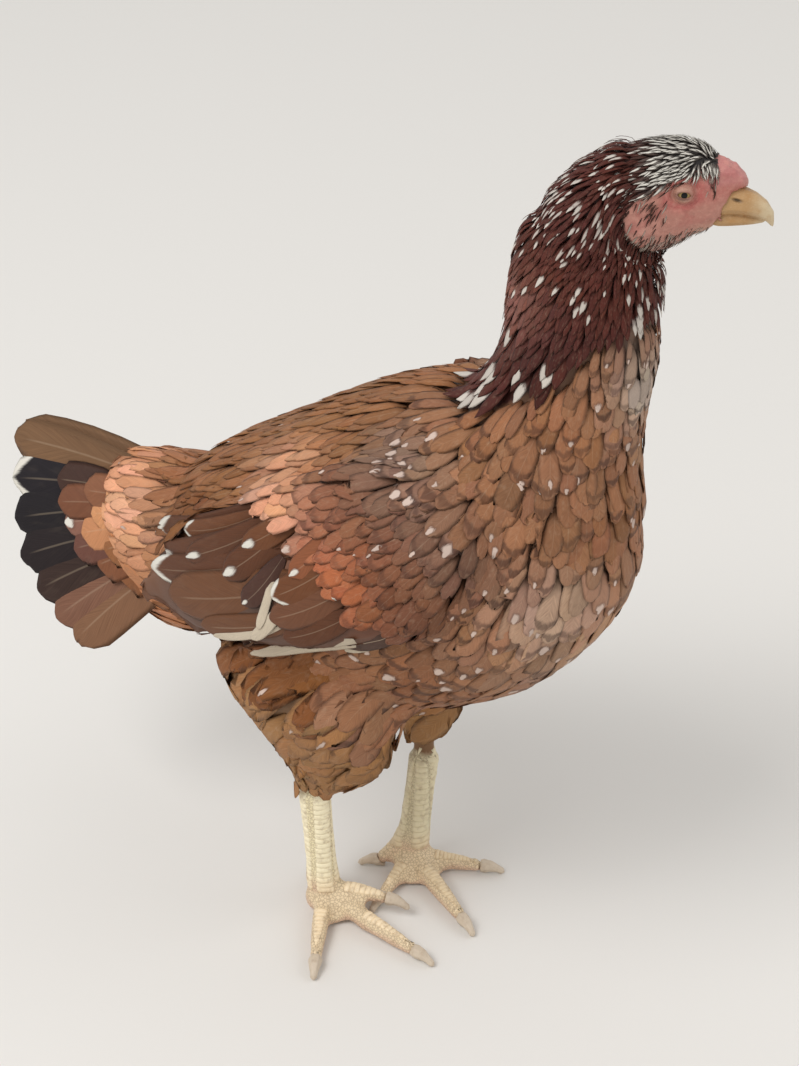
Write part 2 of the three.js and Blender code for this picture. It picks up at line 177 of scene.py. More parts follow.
def joined(objs: Sequence[bpy.types.Object]) -> bpy.types.Object:
    """Joins mesh objects into the first of them."""
    deselect()
    for obj in objs:
        obj.select_set(True)
    bpy.context.view_layer.objects.active = objs[0]
    bpy.ops.object.join()
    return objs[0]


def read(items: Any, key: str, width: int = 3, kind: type = np.float32) -> np.ndarray:
    """One property of all parts of a mesh.

    Args:
        items: the mesh's vertices, edges, corners or faces.
        key: the property's name.
        width: how many numbers it has.
        kind: the type of number that the mesh stores.

    Returns:
        One row for each part, or one number where the width is 1.
    """
    out = np.empty(len(items) * width, kind)
    items.foreach_get(key, out)
    return out.reshape(-1, width) if width > 1 else out


def points_of(obj: bpy.types.Object) -> np.ndarray:
    """The object's vertices as an array."""
    return read(obj.data.vertices, "co").astype(float)


def move_to(obj: bpy.types.Object, points: np.ndarray) -> None:
    """Puts the object's vertices at these places."""
    obj.data.vertices.foreach_set("co", points.astype(np.float32).ravel())
    obj.data.update()


def normals_of(obj: bpy.types.Object) -> np.ndarray:
    """The object's vertex normals as an array."""
    return read(obj.data.vertex_normals, "vector").astype(float)


def middles_of(obj: bpy.types.Object) -> np.ndarray:
    """The middle of each face."""
    return read(obj.data.polygons, "center").astype(float)


def shade_smooth(obj: bpy.types.Object) -> None:
    """Makes all faces of a mesh smooth shaded."""
    obj.data.polygons.foreach_set("use_smooth", np.ones(len(obj.data.polygons), bool))


class Neighbours:
    """Which vertices of a mesh are joined by an edge."""

    def __init__(self, obj: bpy.types.Object) -> None:
        """Reads the mesh's edges."""
        self.ends = read(obj.data.edges, "vertices", 2, np.int32)
        self.count = np.bincount(self.ends.ravel(), minlength=len(obj.data.vertices)).clip(1)

    def mean(self, values: np.ndarray) -> np.ndarray:
        """The mean of a value over each vertex's neighbours."""
        first, second = self.ends.T
        total = np.bincount(first, values[second], len(values))
        return (total + np.bincount(second, values[first], len(values))) / self.count


def evened(obj: bpy.types.Object, values: np.ndarray) -> np.ndarray:
    """Spreads values given by vertex over their neighbours."""
    neighbours = Neighbours(obj)
    for _ in range(8):
        values = 0.5 * values + 0.5 * neighbours.mean(values)
    return values


def relax(obj: bpy.types.Object, rounds: int, weight: np.ndarray | float = 1.0) -> None:
    """Smooths a mesh without shrinking it, by a step in and a smaller step out.

    Args:
        obj: the mesh to smooth.
        rounds: how many pairs of steps.
        weight: how far each vertex may follow, from 0 to 1.
    """
    points, neighbours = points_of(obj), Neighbours(obj)
    weight = np.broadcast_to(np.asarray(weight, float), (len(points),))[:, None]
    for _ in range(rounds):
        for step in (0.52, -0.54):
            mean = np.stack([neighbours.mean(axis) for axis in points.T], 1)
            points = points + step * weight * (mean - points)
    move_to(obj, points)


def mesh_from(name: str, points: np.ndarray, faces: np.ndarray) -> bpy.types.Object:
    """Makes a mesh object from arrays, smooth shaded.

    Args:
        name: the object's name.
        points: vertices, one row each.
        faces: four-sided faces, one row of vertex numbers each.

    Returns:
        The new object.
    """
    mesh = bpy.data.meshes.new(name)
    mesh.vertices.add(len(points))
    mesh.vertices.foreach_set("co", points.astype(np.float32).ravel())
    mesh.loops.add(faces.size)
    mesh.loops.foreach_set("vertex_index", faces.astype(np.int32).ravel())
    mesh.polygons.add(len(faces))
    mesh.polygons.foreach_set("loop_start", np.arange(0, faces.size, faces.shape[1], dtype=np.int32))
    mesh.update(calc_edges=True)
    mesh.validate()
    obj = bpy.data.objects.new(name, mesh)
    bpy.context.scene.collection.objects.link(obj)
    shade_smooth(obj)
    return obj


def stacked(parts: Sequence[Mesh]) -> Mesh:
    """Puts meshes together, with their faces renumbered to match.

    Args:
        parts: the vertices and faces of each.

    Returns:
        All vertices and all faces.
    """
    starts = np.cumsum([0] + [len(points) for points, _ in parts[:-1]])
    return (np.concatenate([points for points, _ in parts]),
            np.concatenate([faces + start for (_, faces), start in zip(parts, starts)]))


def put_attribute(obj: bpy.types.Object, name: str, values: np.ndarray) -> None:
    """Stores numbers, vectors or colours on the object's vertices, by the width of the array."""
    if values.ndim == 1:
        layer = obj.data.attributes.new(name, "FLOAT", "POINT")
        layer.data.foreach_set("value", values.astype(np.float32))
        return
    layer = obj.data.attributes.new(name, "FLOAT_VECTOR", "POINT")
    layer.data.foreach_set("vector", values.astype(np.float32).ravel())


def put_uv(obj: bpy.types.Object, name: str, per_vertex: np.ndarray, shown: bool = False) -> None:
    """Stores a UV map given by vertex.

    Args:
        obj: the mesh.
        name: the map's name.
        per_vertex: one u, v pair for each vertex.
        shown: whether it is the map that renders use by default.
    """
    layer = obj.data.uv_layers.new(name=name, do_init=False)
    corner = read(obj.data.loops, "vertex_index", 1, np.int32)
    layer.data.foreach_set("uv", per_vertex[corner].astype(np.float32).ravel())
    if shown:
        obj.data.uv_layers.active = layer
        layer.active_render = True


def merged_copy(names: Iterable[str], new_name: str) -> bpy.types.Object:
    """Copies solids into one mesh whose shared vertices are welded.

    Args:
        names: the solids to copy.
        new_name: the name of the copy.

    Returns:
        The joined copy.
    """
    copies = []
    for name in names:
        copy = frame["nodes"][name].copy()
        copy.data = frame["nodes"][name].data.copy()
        for key in list(copy.keys()):
            del copy[key]
        copy.parent = None
        copy.data.materials.clear()
        bpy.context.scene.collection.objects.link(copy)
        copies.append(copy)
    body = joined(copies)
    body.name = body.data.name = new_name
    with editing(body):
        bpy.ops.mesh.remove_doubles(threshold=0.01 * MM)
    return body


def apply_modifier(obj: bpy.types.Object, kind: str, **settings: Any) -> None:
    """Adds one modifier with these settings and applies it."""
    activate(obj)
    modifier = obj.modifiers.new(kind.title(), kind)
    for key, value in settings.items():
        setattr(modifier, key, value)
    bpy.ops.object.modifier_apply(modifier=modifier.name)


def remeshed(obj: bpy.types.Object, grow: float, voxel: float) -> None:
    """Swells the shells a little where asked, so that neighbours meet, and makes them one even surface."""
    if grow:
        apply_modifier(obj, "DISPLACE", strength=grow, mid_level=0.0)
    apply_modifier(obj, "REMESH", mode="VOXEL", voxel_size=voxel)


def keep_largest(obj: bpy.types.Object) -> bpy.types.Object:
    """Drops every loose island of a mesh but the largest.

    Args:
        obj: the mesh.

    Returns:
        What is left of it.
    """
    name = obj.name
    with editing(obj):
        bpy.ops.mesh.separate(type="LOOSE")
    shells = sorted(bpy.context.selected_objects, key=lambda o: len(o.data.vertices))
    for shell in shells[:-1]:
        bpy.data.objects.remove(shell)
    shells[-1].name = shells[-1].data.name = name
    return shells[-1]


def refine(obj: bpy.types.Object, where: np.ndarray, cuts: int) -> None:
    """Cuts the faces whose middle is in the given set into smaller ones.

    Args:
        obj: the mesh.
        where: true for each face to cut.
        cuts: how many cuts each edge gets.
    """
    activate(obj)
    bpy.ops.object.mode_set(mode="EDIT")
    bpy.ops.mesh.select_mode(type="FACE")
    bpy.ops.mesh.select_all(action="DESELECT")
    bpy.ops.object.mode_set(mode="OBJECT")
    obj.data.polygons.foreach_set("select", where)
    bpy.ops.object.mode_set(mode="EDIT")
    bpy.ops.mesh.subdivide(number_cuts=cuts)
    bpy.ops.object.mode_set(mode="OBJECT")


class Surface:
    """A mesh that can be asked for its nearest point, its normal there and where a ray meets it."""

    def __init__(self, obj: bpy.types.Object) -> None:
        """Reads the mesh once; later changes to it aren't seen."""
        self.points, self.normals = points_of(obj), normals_of(obj)
        faces = [tuple(p.vertices) for p in obj.data.polygons]
        self.tree = BVHTree.FromPolygons(self.points.tolist(), faces)
        first, second, third = np.array([(f[0], f[1], f[len(f) // 2]) for f in faces]).T
        self.face_normal = unit(self.normals[first] + self.normals[second] + self.normals[third])

    def nearest(self, places: np.ndarray) -> tuple[np.ndarray, np.ndarray, np.ndarray]:
        """The nearest points of the surface.

        Args:
            places: points, one row each.

        Returns:
            The points on the surface, their smooth normals and the faces they are on.
        """
        found = [self.tree.find_nearest(p) for p in places.tolist()]
        faces = np.array([f[2] for f in found])
        return np.array([f[0] for f in found], float), self.face_normal[faces], faces

    def cast(self, start: np.ndarray, way: np.ndarray) -> tuple[np.ndarray, np.ndarray, np.ndarray]:
        """Where rays first meet the surface, or the nearest point where one misses.

        Args:
            start: where each ray starts.
            way: its direction.

        Returns:
            The points, their smooth normals and the faces they are on.
        """
        places = np.array(start, float)
        for i, (origin, direction) in enumerate(zip(start.tolist(), way.tolist())):
            hit = self.tree.ray_cast(origin, direction)
            if hit[0] is not None:
                places[i] = hit[0]
        return self.nearest(places)


# ---------------------------------------------------------------- the bird's own frames
class HeadFrame:
    """Millimetres forward, left and up from between the eyes, turned with the head."""

    def __init__(self) -> None:
        """Finds the frame from where the two eyeballs are."""
        right, left = (sum(corners(f"eye_{side}")) / 2 for side in SIDES)
        across, self.up = unit(left - right), np.array((0.0, 0.0, 1.0))
        self.axes = np.stack([np.cross(across, self.up), across, self.up])
        self.eye_out = float(np.linalg.norm(left - right)) / 2 / MM
        self.eye_up = 2.0
        self.origin = (left + right) / 2 - self.up * self.eye_up * MM

    def local(self, places: np.ndarray) -> np.ndarray:
        """World metres to head millimetres."""
        return (places - self.origin) @ self.axes.T / MM

    def world(self, places: np.ndarray) -> np.ndarray:
        """Head millimetres to world metres."""
        return self.origin + places * MM @ self.axes

    def turn(self, ways: np.ndarray) -> np.ndarray:
        """A direction in the head's frame, as one in the world."""
        return ways @ self.axes


HEAD = HeadFrame()

# The edge of the bare face and the middle of the ear from the side, in millimetres forward and up from
# between the eyes.
FACE_EDGE = [(8, 20), (20, 19), (36, 9), (44, 0), (44, -24), (18, -23), (11, -24), (4, -26), (-3, -28),
             (-11, -27.5), (-18, -23.5), (-23.5, -15.5), (-25, -6), (-21, -1), (-9, 6.5), (1, 9.5), (7, 11.5)]
EAR = (-12.5, -5.0)


def inside_by(points: np.ndarray, outline: Sequence[tuple[float, float]]) -> np.ndarray:
    """How far points lie inside an outline, negative outside it.

    Args:
        points: two numbers for each point.
        outline: the corners of a closed outline.

    Returns:
        The distance to the outline, signed.
    """
    ends = np.array(outline, float)
    nearest = np.full(len(points), 1e9)
    crossings = np.zeros(len(points), int)
    for a, b in zip(ends, np.roll(ends, -1, 0)):
        along = b - a
        share = np.clip((points - a) @ along / (along @ along), 0, 1)
        nearest = np.minimum(nearest, np.linalg.norm(points - a - share[:, None] * along, axis=1))
        spans = (a[1] > points[:, 1]) != (b[1] > points[:, 1])
        rise = b[1] - a[1] if b[1] != a[1] else 1e-9
        crossings += spans & (points[:, 0] < a[0] + (points[:, 1] - a[1]) / rise * along[0])
    return np.where(crossings % 2 == 1, nearest, -nearest)


def bare_face(places: np.ndarray) -> np.ndarray:
    """Millimetres inside the featherless face, negative outside it."""
    local = HEAD.local(places)
    side = inside_by(local[:, [0, 2]], FACE_EDGE)
    crown = np.where(local[:, 0] < 14, 12 - local[:, 2], 50.0)  # no bare skin over the top of the skull
    return np.minimum(side, crown)


def near_ear(places: np.ndarray) -> np.ndarray:
    """How much a place is in the bristly patch over the ear, from 0 to 1."""
    x, _, z = HEAD.local(places).T
    return mound(x, z, EAR, (3.0, 4.2))


def bristly(places: np.ndarray) -> np.ndarray:
    """How thick the bristles stand on the bare face, from 0 to 1: at its edge, ear, throat and lore."""
    x, _, z = HEAD.local(places).T
    edge = 0.75 * smooth(bare_face(places), 3.5, 0.3) * smooth(-x, -16, -13)
    throat = 0.45 * smooth(-z, 13, 21) * smooth(-x, -20, -8)
    lore = 0.75 * mound(x, z, (12.5, 7), (1.8, 5))
    cheek = 0.1 * smooth(-x, 2, 10)
    return np.max([edge, throat, lore, cheek, 0.6 * near_ear(places)], axis=0)


def bare_leg(places: np.ndarray) -> np.ndarray:
    """Millimetres below the thigh's hem, negative above it."""
    hem = np.where(places[:, 1] < 0, *(corners(f"thigh_{side}")[0][2] for side in SIDES))
    return (hem - places[:, 2]) / MM


class Tract(IntEnum):
    """The fields of plumage, each with its own kind of feather."""

    CROWN, HACKLE, BREAST, BACK, BELLY, WING, THIGH, TAIL, FACE = range(9)


@dataclass(frozen=True)
class Lie:
    """How plumage grows at one place: which way it points, and a feather's size there in millimetres.

    The place is a share of the solid's box, or for the head in millimetres from between the eyes.
    """

    node: str
    at: Place
    way: Place
    wide: float
    long: float
    shown: float


LIES = [Lie(node, *entry) for node, entries in {
    "head": [
        ((10, 0, 17), (-0.2, 0, 1), 1.2, 5, 1.5), ((9, 8, 13), (0.3, 0.2, -0.9), 1.1, 5, 1.5),
        ((3, 6, 20), (-0.9, 0.25, -0.1), 1.3, 5.5, 1.7), ((-4, 0, 27), (-1, 0, 0.1), 1.4, 6.5, 1.9),
        ((-4, 12, 16), (-0.9, 0.2, -0.35), 1.4, 6, 1.8), ((-16, 0, 26), (-1, 0, -0.25), 1.8, 8, 2.5),
        ((-16, 14, 8), (-0.85, 0, -0.5), 1.6, 7.5, 2.3), ((-30, 0, 20), (-0.75, 0, -0.7), 2.6, 12, 3.6),
        ((-29, 16, -6), (-0.45, 0, -0.9), 2.3, 11, 3.2), ((-22, 12, -28), (-0.35, 0, -0.95), 2.0, 9, 2.8),
        ((-4, 0, -40), (-0.45, 0, -0.9), 2.2, 9, 2.8), ((8, 9, -14), (-0.6, 0, -0.8), 1.2, 5, 1.5),
        ((-10, 13, -14), (-0.5, 0, -0.85), 1.3, 5, 1.6), ((14, 4, 8), (-0.2, 0.1, -1), 1.2, 6, 1.5)],
    "neck": [
        ((0.08, 0.5, 0.75), (-0.35, 0, -1), 4.4, 20, 5.5), ((0.45, 0, 0.7), (-0.3, 0, -1), 4.2, 19, 5.5),
        ((0.9, 0.5, 0.6), (-0.1, 0, -1), 3.8, 15, 4.5), ((0, 0.5, 0.4), (-0.2, 0, -1), 6.2, 25, 7),
        ((0.45, 0, 0.4), (-0.22, 0, -1), 6.4, 24, 7), ((0.95, 0.5, 0.3), (0.05, 0, -1), 8, 18, 5.5),
        ((0.05, 0.5, 0.05), (-0.8, 0, -0.6), 8, 28, 8), ((0.12, 0.25, 0.12), (-0.7, -0.15, -0.8), 8, 30, 8),
        ((0.3, 0, 0.02), (-0.5, -0.1, -1), 9.5, 23, 7), ((0.8, 0.1, 0.1), (-0.05, 0, -1), 10.5, 23, 7.5)],
    "trunk": [
        ((0.97, 0.5, 0.8), (0.1, 0, -1), 9.5, 22, 7), ((1, 0.5, 0.5), (-0.15, 0, -1), 13, 30, 10.5),
        ((0.9, 0.5, 0.18), (-0.7, 0, -0.75), 15, 37, 13), ((0.6, 0.5, 0), (-1, 0, -0.1), 16, 42, 14),
        ((0.3, 0.5, 0), (-1, 0, 0.05), 16, 42, 14), ((0.08, 0.5, 0.08), (-0.9, 0, 0.1), 14, 38, 12),
        ((0.88, 0, 0.75), (-0.3, 0, -1), 9, 22, 7), ((0.9, 0, 0.45), (-0.35, 0, -0.95), 12.5, 30, 10),
        ((0.78, 0, 0.2), (-0.6, 0, -0.8), 16, 40, 14), ((0.5, 0, 0.15), (-0.65, 0, -0.75), 15, 40, 13.5),
        ((0.15, 0, 0.15), (-0.75, 0, -0.6), 14, 38, 12.5),
        ((0.66, 0.15, 0.95), (-0.9, -0.1, -0.45), 8.5, 22, 7),
        ((0.55, 0.5, 1), (-1, 0, -0.25), 7, 28, 8), ((0.3, 0.5, 0.86), (-1, 0, -0.38), 6.5, 32, 8.5),
        ((0.3, 0.2, 0.8), (-0.95, -0.1, -0.45), 6.5, 32, 8.5), ((0.02, 0.5, 0.5), (-1, 0, -0.3), 6.5, 36, 9),
        ((0.05, 0.12, 0.4), (-0.85, 0, -0.6), 6.5, 36, 9)],
    "wing_right": [
        ((0.97, 0, 0.72), (-0.6, 0, -0.8), 7.5, 17, 5.5), ((0.85, 0, 0.95), (-0.85, 0, -0.5), 7.5, 19, 6),
        ((0.6, 0, 0.75), (-0.88, 0, -0.48), 8.5, 22, 7.5), ((0.75, 0, 0.35), (-0.85, 0, -0.52), 9, 23, 7.5),
        ((0.45, 0, 0.35), (-0.88, 0, -0.45), 10.5, 28, 9.5), ((0.2, 0, 0.5), (-0.9, 0, -0.45), 10, 30, 10)],
    "thigh_right": [
        ((0.55, 0, 0.97), (-0.5, 0, -0.9), 15, 40, 13.5), ((0.2, 0, 0.75), (-0.5, 0, -0.85), 14, 36, 12),
        ((0.5, 0, 0.6), (-0.3, 0, -0.95), 13, 34, 11.5), ((0.45, 1, 0.6), (-0.2, 0, -1), 12, 32, 11),
        ((0.45, 0.3, 0.3), (-0.1, 0, -1), 9.5, 26, 8), ((0.45, 0.5, 0.02), (-0.05, 0, -1), 6, 16, 4.5)],
    "tail_coverts": [
        ((0.5, 0.5, 1), (-1, 0, -0.12), 9, 34, 10), ((0.4, 0, 0.75), (-0.97, 0, -0.2), 11, 38, 11),
        ((0.3, 0, 0.45), (-0.93, 0, -0.35), 15, 42, 12), ((0.2, 0.3, 0.1), (-0.95, 0, -0.25), 16, 42, 13),
        ((0.5, 0.5, 0), (-0.98, 0, 0.05), 12, 38, 11)],
}.items() for entry in entries]


class LieField:
    """Blends the lies, so that every place on the skin has a direction and a feather size."""

    def __init__(self, lies: Sequence[Lie]) -> None:
        """Places each lie, and its mirror on the other side of the bird.

        Args:
            lies: directions on the right side and the middle.
        """
        places, ways, sizes = [], [], []
        for lie in lies:
            for side in (1.0, -1.0):
                flip = np.array((1.0, side, 1.0))
                place, way = np.array(lie.at) * flip, np.array(lie.way) * flip
                on_head = lie.node == "head"
                places.append(HEAD.world(place) if on_head else spot(lie.node, lie.at, side < 0))
                ways.append(HEAD.turn(way) if on_head else way)
                sizes.append((lie.wide, lie.long, lie.shown))
        self.places, self.ways, self.sizes = np.array(places), unit(np.array(ways)), np.array(sizes) * MM

    def _weights(self, places: np.ndarray, power: float) -> np.ndarray:
        """How much each lie counts at each place."""
        gap = np.linalg.norm(places[:, None] - self.places[None], axis=2) + 3 * MM
        weight = gap ** -power
        return weight / weight.sum(1, keepdims=True)

    def way(self, places: np.ndarray, normals: np.ndarray) -> np.ndarray:
        """The direction of growth along the skin."""
        raw = self._weights(places, 3.5) @ self.ways
        return unit(raw - (raw * normals).sum(1, keepdims=True) * normals)

    def size(self, places: np.ndarray) -> np.ndarray:
        """Width, length and shown length of a feather at each place, in metres."""
        return self._weights(places, 4.0) @ self.sizes


FIELD = LieField(LIES)


# ---------------------------------------------------------------- the skin
@dataclass
class EyeLids:
    """The lids round one eyeball, as a ring of skin with an almond opening."""

    side: float
    ball: float = 5.2
    opening: tuple[float, float] = (2.9, 1.5)
    tilt: float = -6.0
    reach: tuple[float, float] = (8.2, 7.4)
    rows: int = 18
    spokes: int = 72

    def centre(self) -> np.ndarray:
        """The middle of the eyeball, in metres."""
        return HEAD.world(np.array((0, self.side * HEAD.eye_out, HEAD.eye_up)))

    def frame(self) -> tuple[np.ndarray, np.ndarray, np.ndarray]:
        """Directions towards the bill, up and out of the head at this eye."""
        out = unit(HEAD.turn(np.array((0.10, self.side, 0.04))))
        up = unit(HEAD.up - out * (HEAD.up @ out))
        return np.cross(up, out) * -self.side, up, out

    def flat(self, places: np.ndarray) -> tuple[np.ndarray, np.ndarray]:
        """Places seen along the eye's axis, and how far out they are, in millimetres."""
        fore, up, out = self.frame()
        rel = (places - self.centre()) / MM
        return np.stack([rel @ fore, rel @ up], 1), rel @ out

    def almond(self, angle: np.ndarray) -> np.ndarray:
        """The edge of the opening: pointed at the corners, the lower lid flatter."""
        wide, high = self.opening
        high = high * np.where(np.sin(angle) < 0, 0.85, 1.0)
        edge = np.stack([wide * np.cos(angle), high * np.sin(angle) * np.abs(np.sin(angle)) ** 0.25], 1)
        c, s = math.cos(math.radians(self.tilt)), math.sin(math.radians(self.tilt))
        return edge @ np.array(((c, s), (-s, c)))

    def height(self, flat: np.ndarray, skin: np.ndarray) -> np.ndarray:
        """How far out the lids lie, blended into the skin around them.

        Args:
            flat: places seen along the eye's axis, in millimetres.
            skin: how far out the skin lies there.

        Returns:
            Millimetres out from the middle of the eye.
        """
        far = np.linalg.norm(flat * (1.0, 1.12), axis=1)
        shell = self.ball + 0.62
        lid = np.sqrt(np.maximum(shell ** 2 - np.minimum(far, shell * 0.93) ** 2, 0))
        above = smooth(flat[:, 1], -1.5, 2.0)
        swell = (0.15 + 0.3 * above) * np.exp(-((far - 3.4) / 0.8) ** 2)
        away = smooth(far, 3.6, 7.4)
        fold = (0.2 + 0.3 * above) * np.exp(-((far - 4.9) / 0.5) ** 2)
        wrinkle = 0.12 * np.sin(far * 5.5 + flat[:, 0] * 0.4) * smooth(far, 4.5, 5.5) * smooth(-far, -8, -7)
        raised = blend(lid, skin, away) + swell - fold + wrinkle
        ball = np.sqrt(np.maximum(self.ball ** 2 - (flat ** 2).sum(1), 0))
        return np.where(ball > 0, np.maximum(raised, ball + 0.3), raised)

    def build(self, skin: Surface) -> tuple[np.ndarray, np.ndarray]:
        """The ring of lid skin.

        Args:
            skin: the skin that it blends into.

        Returns:
            Its vertices and faces.
        """
        fore, up, out = self.frame()
        angle = np.linspace(0, 2 * math.pi, self.spokes, endpoint=False)
        inner = self.almond(angle)
        outer = np.stack([self.reach[0] * np.cos(angle), self.reach[1] * np.sin(angle)], 1)
        steps = np.linspace(0, 1, self.rows) ** 1.25
        flats = np.stack([inner * 0.93, inner] + [blend(inner, outer, step) for step in steps[1:]])
        flat = flats.reshape(-1, 2)
        start = self.centre() + (flat[:, :1] * fore + flat[:, 1:] * up) * MM + out * 30 * MM
        met, _, _ = skin.cast(start, np.broadcast_to(-out, start.shape))
        level = self.height(flat, (met - self.centre()) @ out / MM).reshape(len(flats), -1)
        level[0] = np.sqrt(self.ball ** 2 - (flats[0] ** 2).sum(1)) - 0.25
        level[1] = np.sqrt(self.ball ** 2 - (flats[1] ** 2).sum(1)) + 0.28
        level[-1] -= 0.5
        points = self.centre() + (flat[:, :1] * fore + flat[:, 1:] * up + level.reshape(-1, 1) * out) * MM
        return points, ring_faces(len(flats), self.spokes, flip=self.side < 0)


def ring_faces(rows: int, spokes: int, flip: bool = False) -> np.ndarray:
    """Four-sided faces between closed rings of vertices."""
    row, spoke = np.meshgrid(np.arange(rows - 1), np.arange(spokes), indexing="ij")
    after = (spoke + 1) % spokes
    faces = np.stack([row * spokes + spoke, row * spokes + after, (row + 1) * spokes + after,
                      (row + 1) * spokes + spoke], -1).reshape(-1, 4)
    return faces[:, ::-1] if flip else faces


def sheet_faces(rows: int, columns: int) -> np.ndarray:
    """Four-sided faces of an open grid of vertices."""
    row, column = np.meshgrid(np.arange(rows - 1), np.arange(columns - 1), indexing="ij")
    at = row * columns + column
    return np.stack([at, at + 1, at + columns + 1, at + columns], -1).reshape(-1, 4)


@dataclass
class Skin:
    """One skin for all the flesh: bare and detailed on the face and feet, plain below the plumage."""

    voxel: float = 2.2
    swell: float = 0.45
    thin: float = 0.3
    close: float = 9.0
    depths: dict[str, float] = field(default_factory=lambda: {
        "head": 1.6, "comb": 0.0, "neck": 4.0, "trunk": 5.0, "tail_coverts": 5.0, "wing": 4.5, "thigh": 6.0})
    grooves: tuple[tuple[str, Place, float], ...] = (
        ("wing_right", (0.95, 0.4, 0.7), 34), ("wing_right", (0.75, 0.7, 1.0), 30),
        ("wing_right", (0.97, 0.8, 0.92), 30), ("thigh_right", (0.9, 0.2, 0.85), 34),
        ("thigh_right", (0.6, 1, 0.75), 34))

    def close_grooves(self, skin: bpy.types.Object) -> None:
        """Fills the grooves that plumage bridges, by swelling the surface there and shrinking it again.

        Args:
            skin: the skin, changed in place.
        """
        for way in (1, -1):
            points = points_of(skin)
            share = np.zeros(len(points))
            for node, at, radius in self.grooves:
                for mirrored in (False, True):
                    share += np.exp(-(((points - spot(node, at, mirrored)) / MM / radius) ** 2).sum(1))
            share = smooth(share, 0.1, 0.6)
            move_to(skin, points + normals_of(skin) * (way * self.close * MM * share)[:, None])
            if way > 0:
                remeshed(skin, 0.0, self.voxel * MM)

    def build(self) -> bpy.types.Object:
        """Joins the flesh solids into one surface, sinks it below the plumage and models the bare parts."""
        solids = Anatomy(FLESH)
        skin = merged_copy(FLESH, "skin")
        remeshed(skin, self.swell * MM, self.voxel * MM)
        self.close_grooves(skin)
        skin = keep_largest(skin)
        relax(skin, 6, 0.35 + 0.65 * (bare_leg(points_of(skin)) < -4))
        refine(skin, bare_face(middles_of(skin)) > -2.5, 2)
        refine(skin, bare_leg(middles_of(skin)) > -3, 1)
        points = points_of(skin)
        relax(skin, 5, np.maximum(bare_face(points) > -6, 0.6 * (bare_leg(points) > -3)))
        depth = self.depth(skin, solids)
        points, normals = points_of(skin), normals_of(skin)
        depth = np.minimum(depth, self.thin * self.thickness(skin, points, normals))
        move_to(skin, points - normals * (depth + self.swell * MM)[:, None])
        relax(skin, 4, smooth(depth / MM, 0.5, 3))
        self.model_head(skin)
        self.add_lids(skin)
        return skin

    def thickness(self, skin: bpy.types.Object, points: np.ndarray, normals: np.ndarray) -> np.ndarray:
        """How thick the flesh is below each vertex, up to a few centimetres, in metres."""
        tree, far = Surface(skin).tree, 40 * MM
        starts = points - normals * 0.1 * MM
        hits = (tree.ray_cast(p, w, far) for p, w in zip(starts.tolist(), (-normals).tolist()))
        return evened(skin, np.array([far if hit[3] is None else hit[3] for hit in hits]))

    def depth(self, skin: bpy.types.Object, solids: "Anatomy") -> np.ndarray:
        """How deep the plumage is over each vertex, in metres, evened out over the surface."""
        points = points_of(skin)
        names = [FLESH[i] for i in solids.node_at(points)]
        raw = np.array([self.depths.get(n.split("_r")[0].split("_l")[0], 0.0) for n in names])
        cover = 1 - smooth(np.maximum(bare_face(points), bare_leg(points)), -5, 0.5)
        return evened(skin, raw) * cover * MM

    def model_head(self, skin: bpy.types.Object) -> None:
        """Adds the folds of the face: brow, cheek, ear, gape and the ridges of the comb.

        Args:
            skin: the skin, changed in place.
        """
        points, normals = points_of(skin), normals_of(skin)
        x, y, z = HEAD.local(points).T
        near = smooth(bare_face(points), -3, 2)
        out = 0.9 * np.exp(-((z - (7.6 - 0.02 * (x + 2) ** 2)) / 1.9) ** 2) * smooth(-np.abs(x), -13, -8)
        out -= 1.1 * mound(x, z, EAR, (2.6, 3.4))
        out += 0.8 * mound(x, z, (-16.5, -14), (2.6, 5.5))
        out += 0.6 * mound(x, z, (6, -13), (6, 4))
        out += 0.16 * np.sin(1.9 * x + 2.2 * np.sin(0.9 * z)) * np.sin(1.7 * z + 1.3 * np.sin(1.1 * x + y))
        out += 0.3 * np.sin(0.55 * x + 0.8 * z + 1.5) * np.sin(0.42 * z - 0.3 * x) * smooth(-x, 0, 6)
        crease = -6.5 - 0.55 * (x - 1) - 0.012 * (x - 1) ** 2
        out -= 0.55 * np.exp(-((z - crease) / 0.9) ** 2) * smooth(x, -10, -4) * smooth(-x, -9, -4)
        gape = -12.2 + 0.03 * (x - 14)
        out -= 0.8 * np.exp(-((z - gape) / 0.8) ** 2) * smooth(x, 9, 12)
        comb = smooth(z, 8.5, 12.5) * smooth(x, 8, 12)
        groove = np.exp(-((np.abs(y) - 2.9) / 0.8) ** 2) * 0.55
        lobes = 0.35 * np.sin(x * 1.15 + 0.9 * np.sin(y * 0.8))
        out = out * near + comb * (lobes - groove)
        move_to(skin, points + normals * (out * MM)[:, None])

    def add_lids(self, skin: bpy.types.Object) -> None:
        """Joins the lid rings to the skin, and tucks the skin beneath them.

        Args:
            skin: the skin, changed in place.
        """
        surface = Surface(skin)
        rings = []
        for side in SIDES.values():
            lids = EyeLids(side)
            rings.append(lids.build(surface))
            points = points_of(skin)
            flat, level = lids.flat(points)
            far = np.linalg.norm(flat / (np.array(lids.reach) - 0.9), axis=1)
            lower = np.minimum(level, lids.height(flat, level) - 1.0)
            low = np.where(np.linalg.norm(flat, axis=1) < 5, np.minimum(lower, 1.0), lower)
            mask = (level > -2) & (far < 1)
            sunk = points - lids.frame()[2] * ((level - low) * MM)[:, None]
            move_to(skin, np.where(mask[:, None], sunk, points))
        joined([skin] + [mesh_from(f"lids_{i}", *ring) for i, ring in enumerate(rings)])
        shade_smooth(skin)


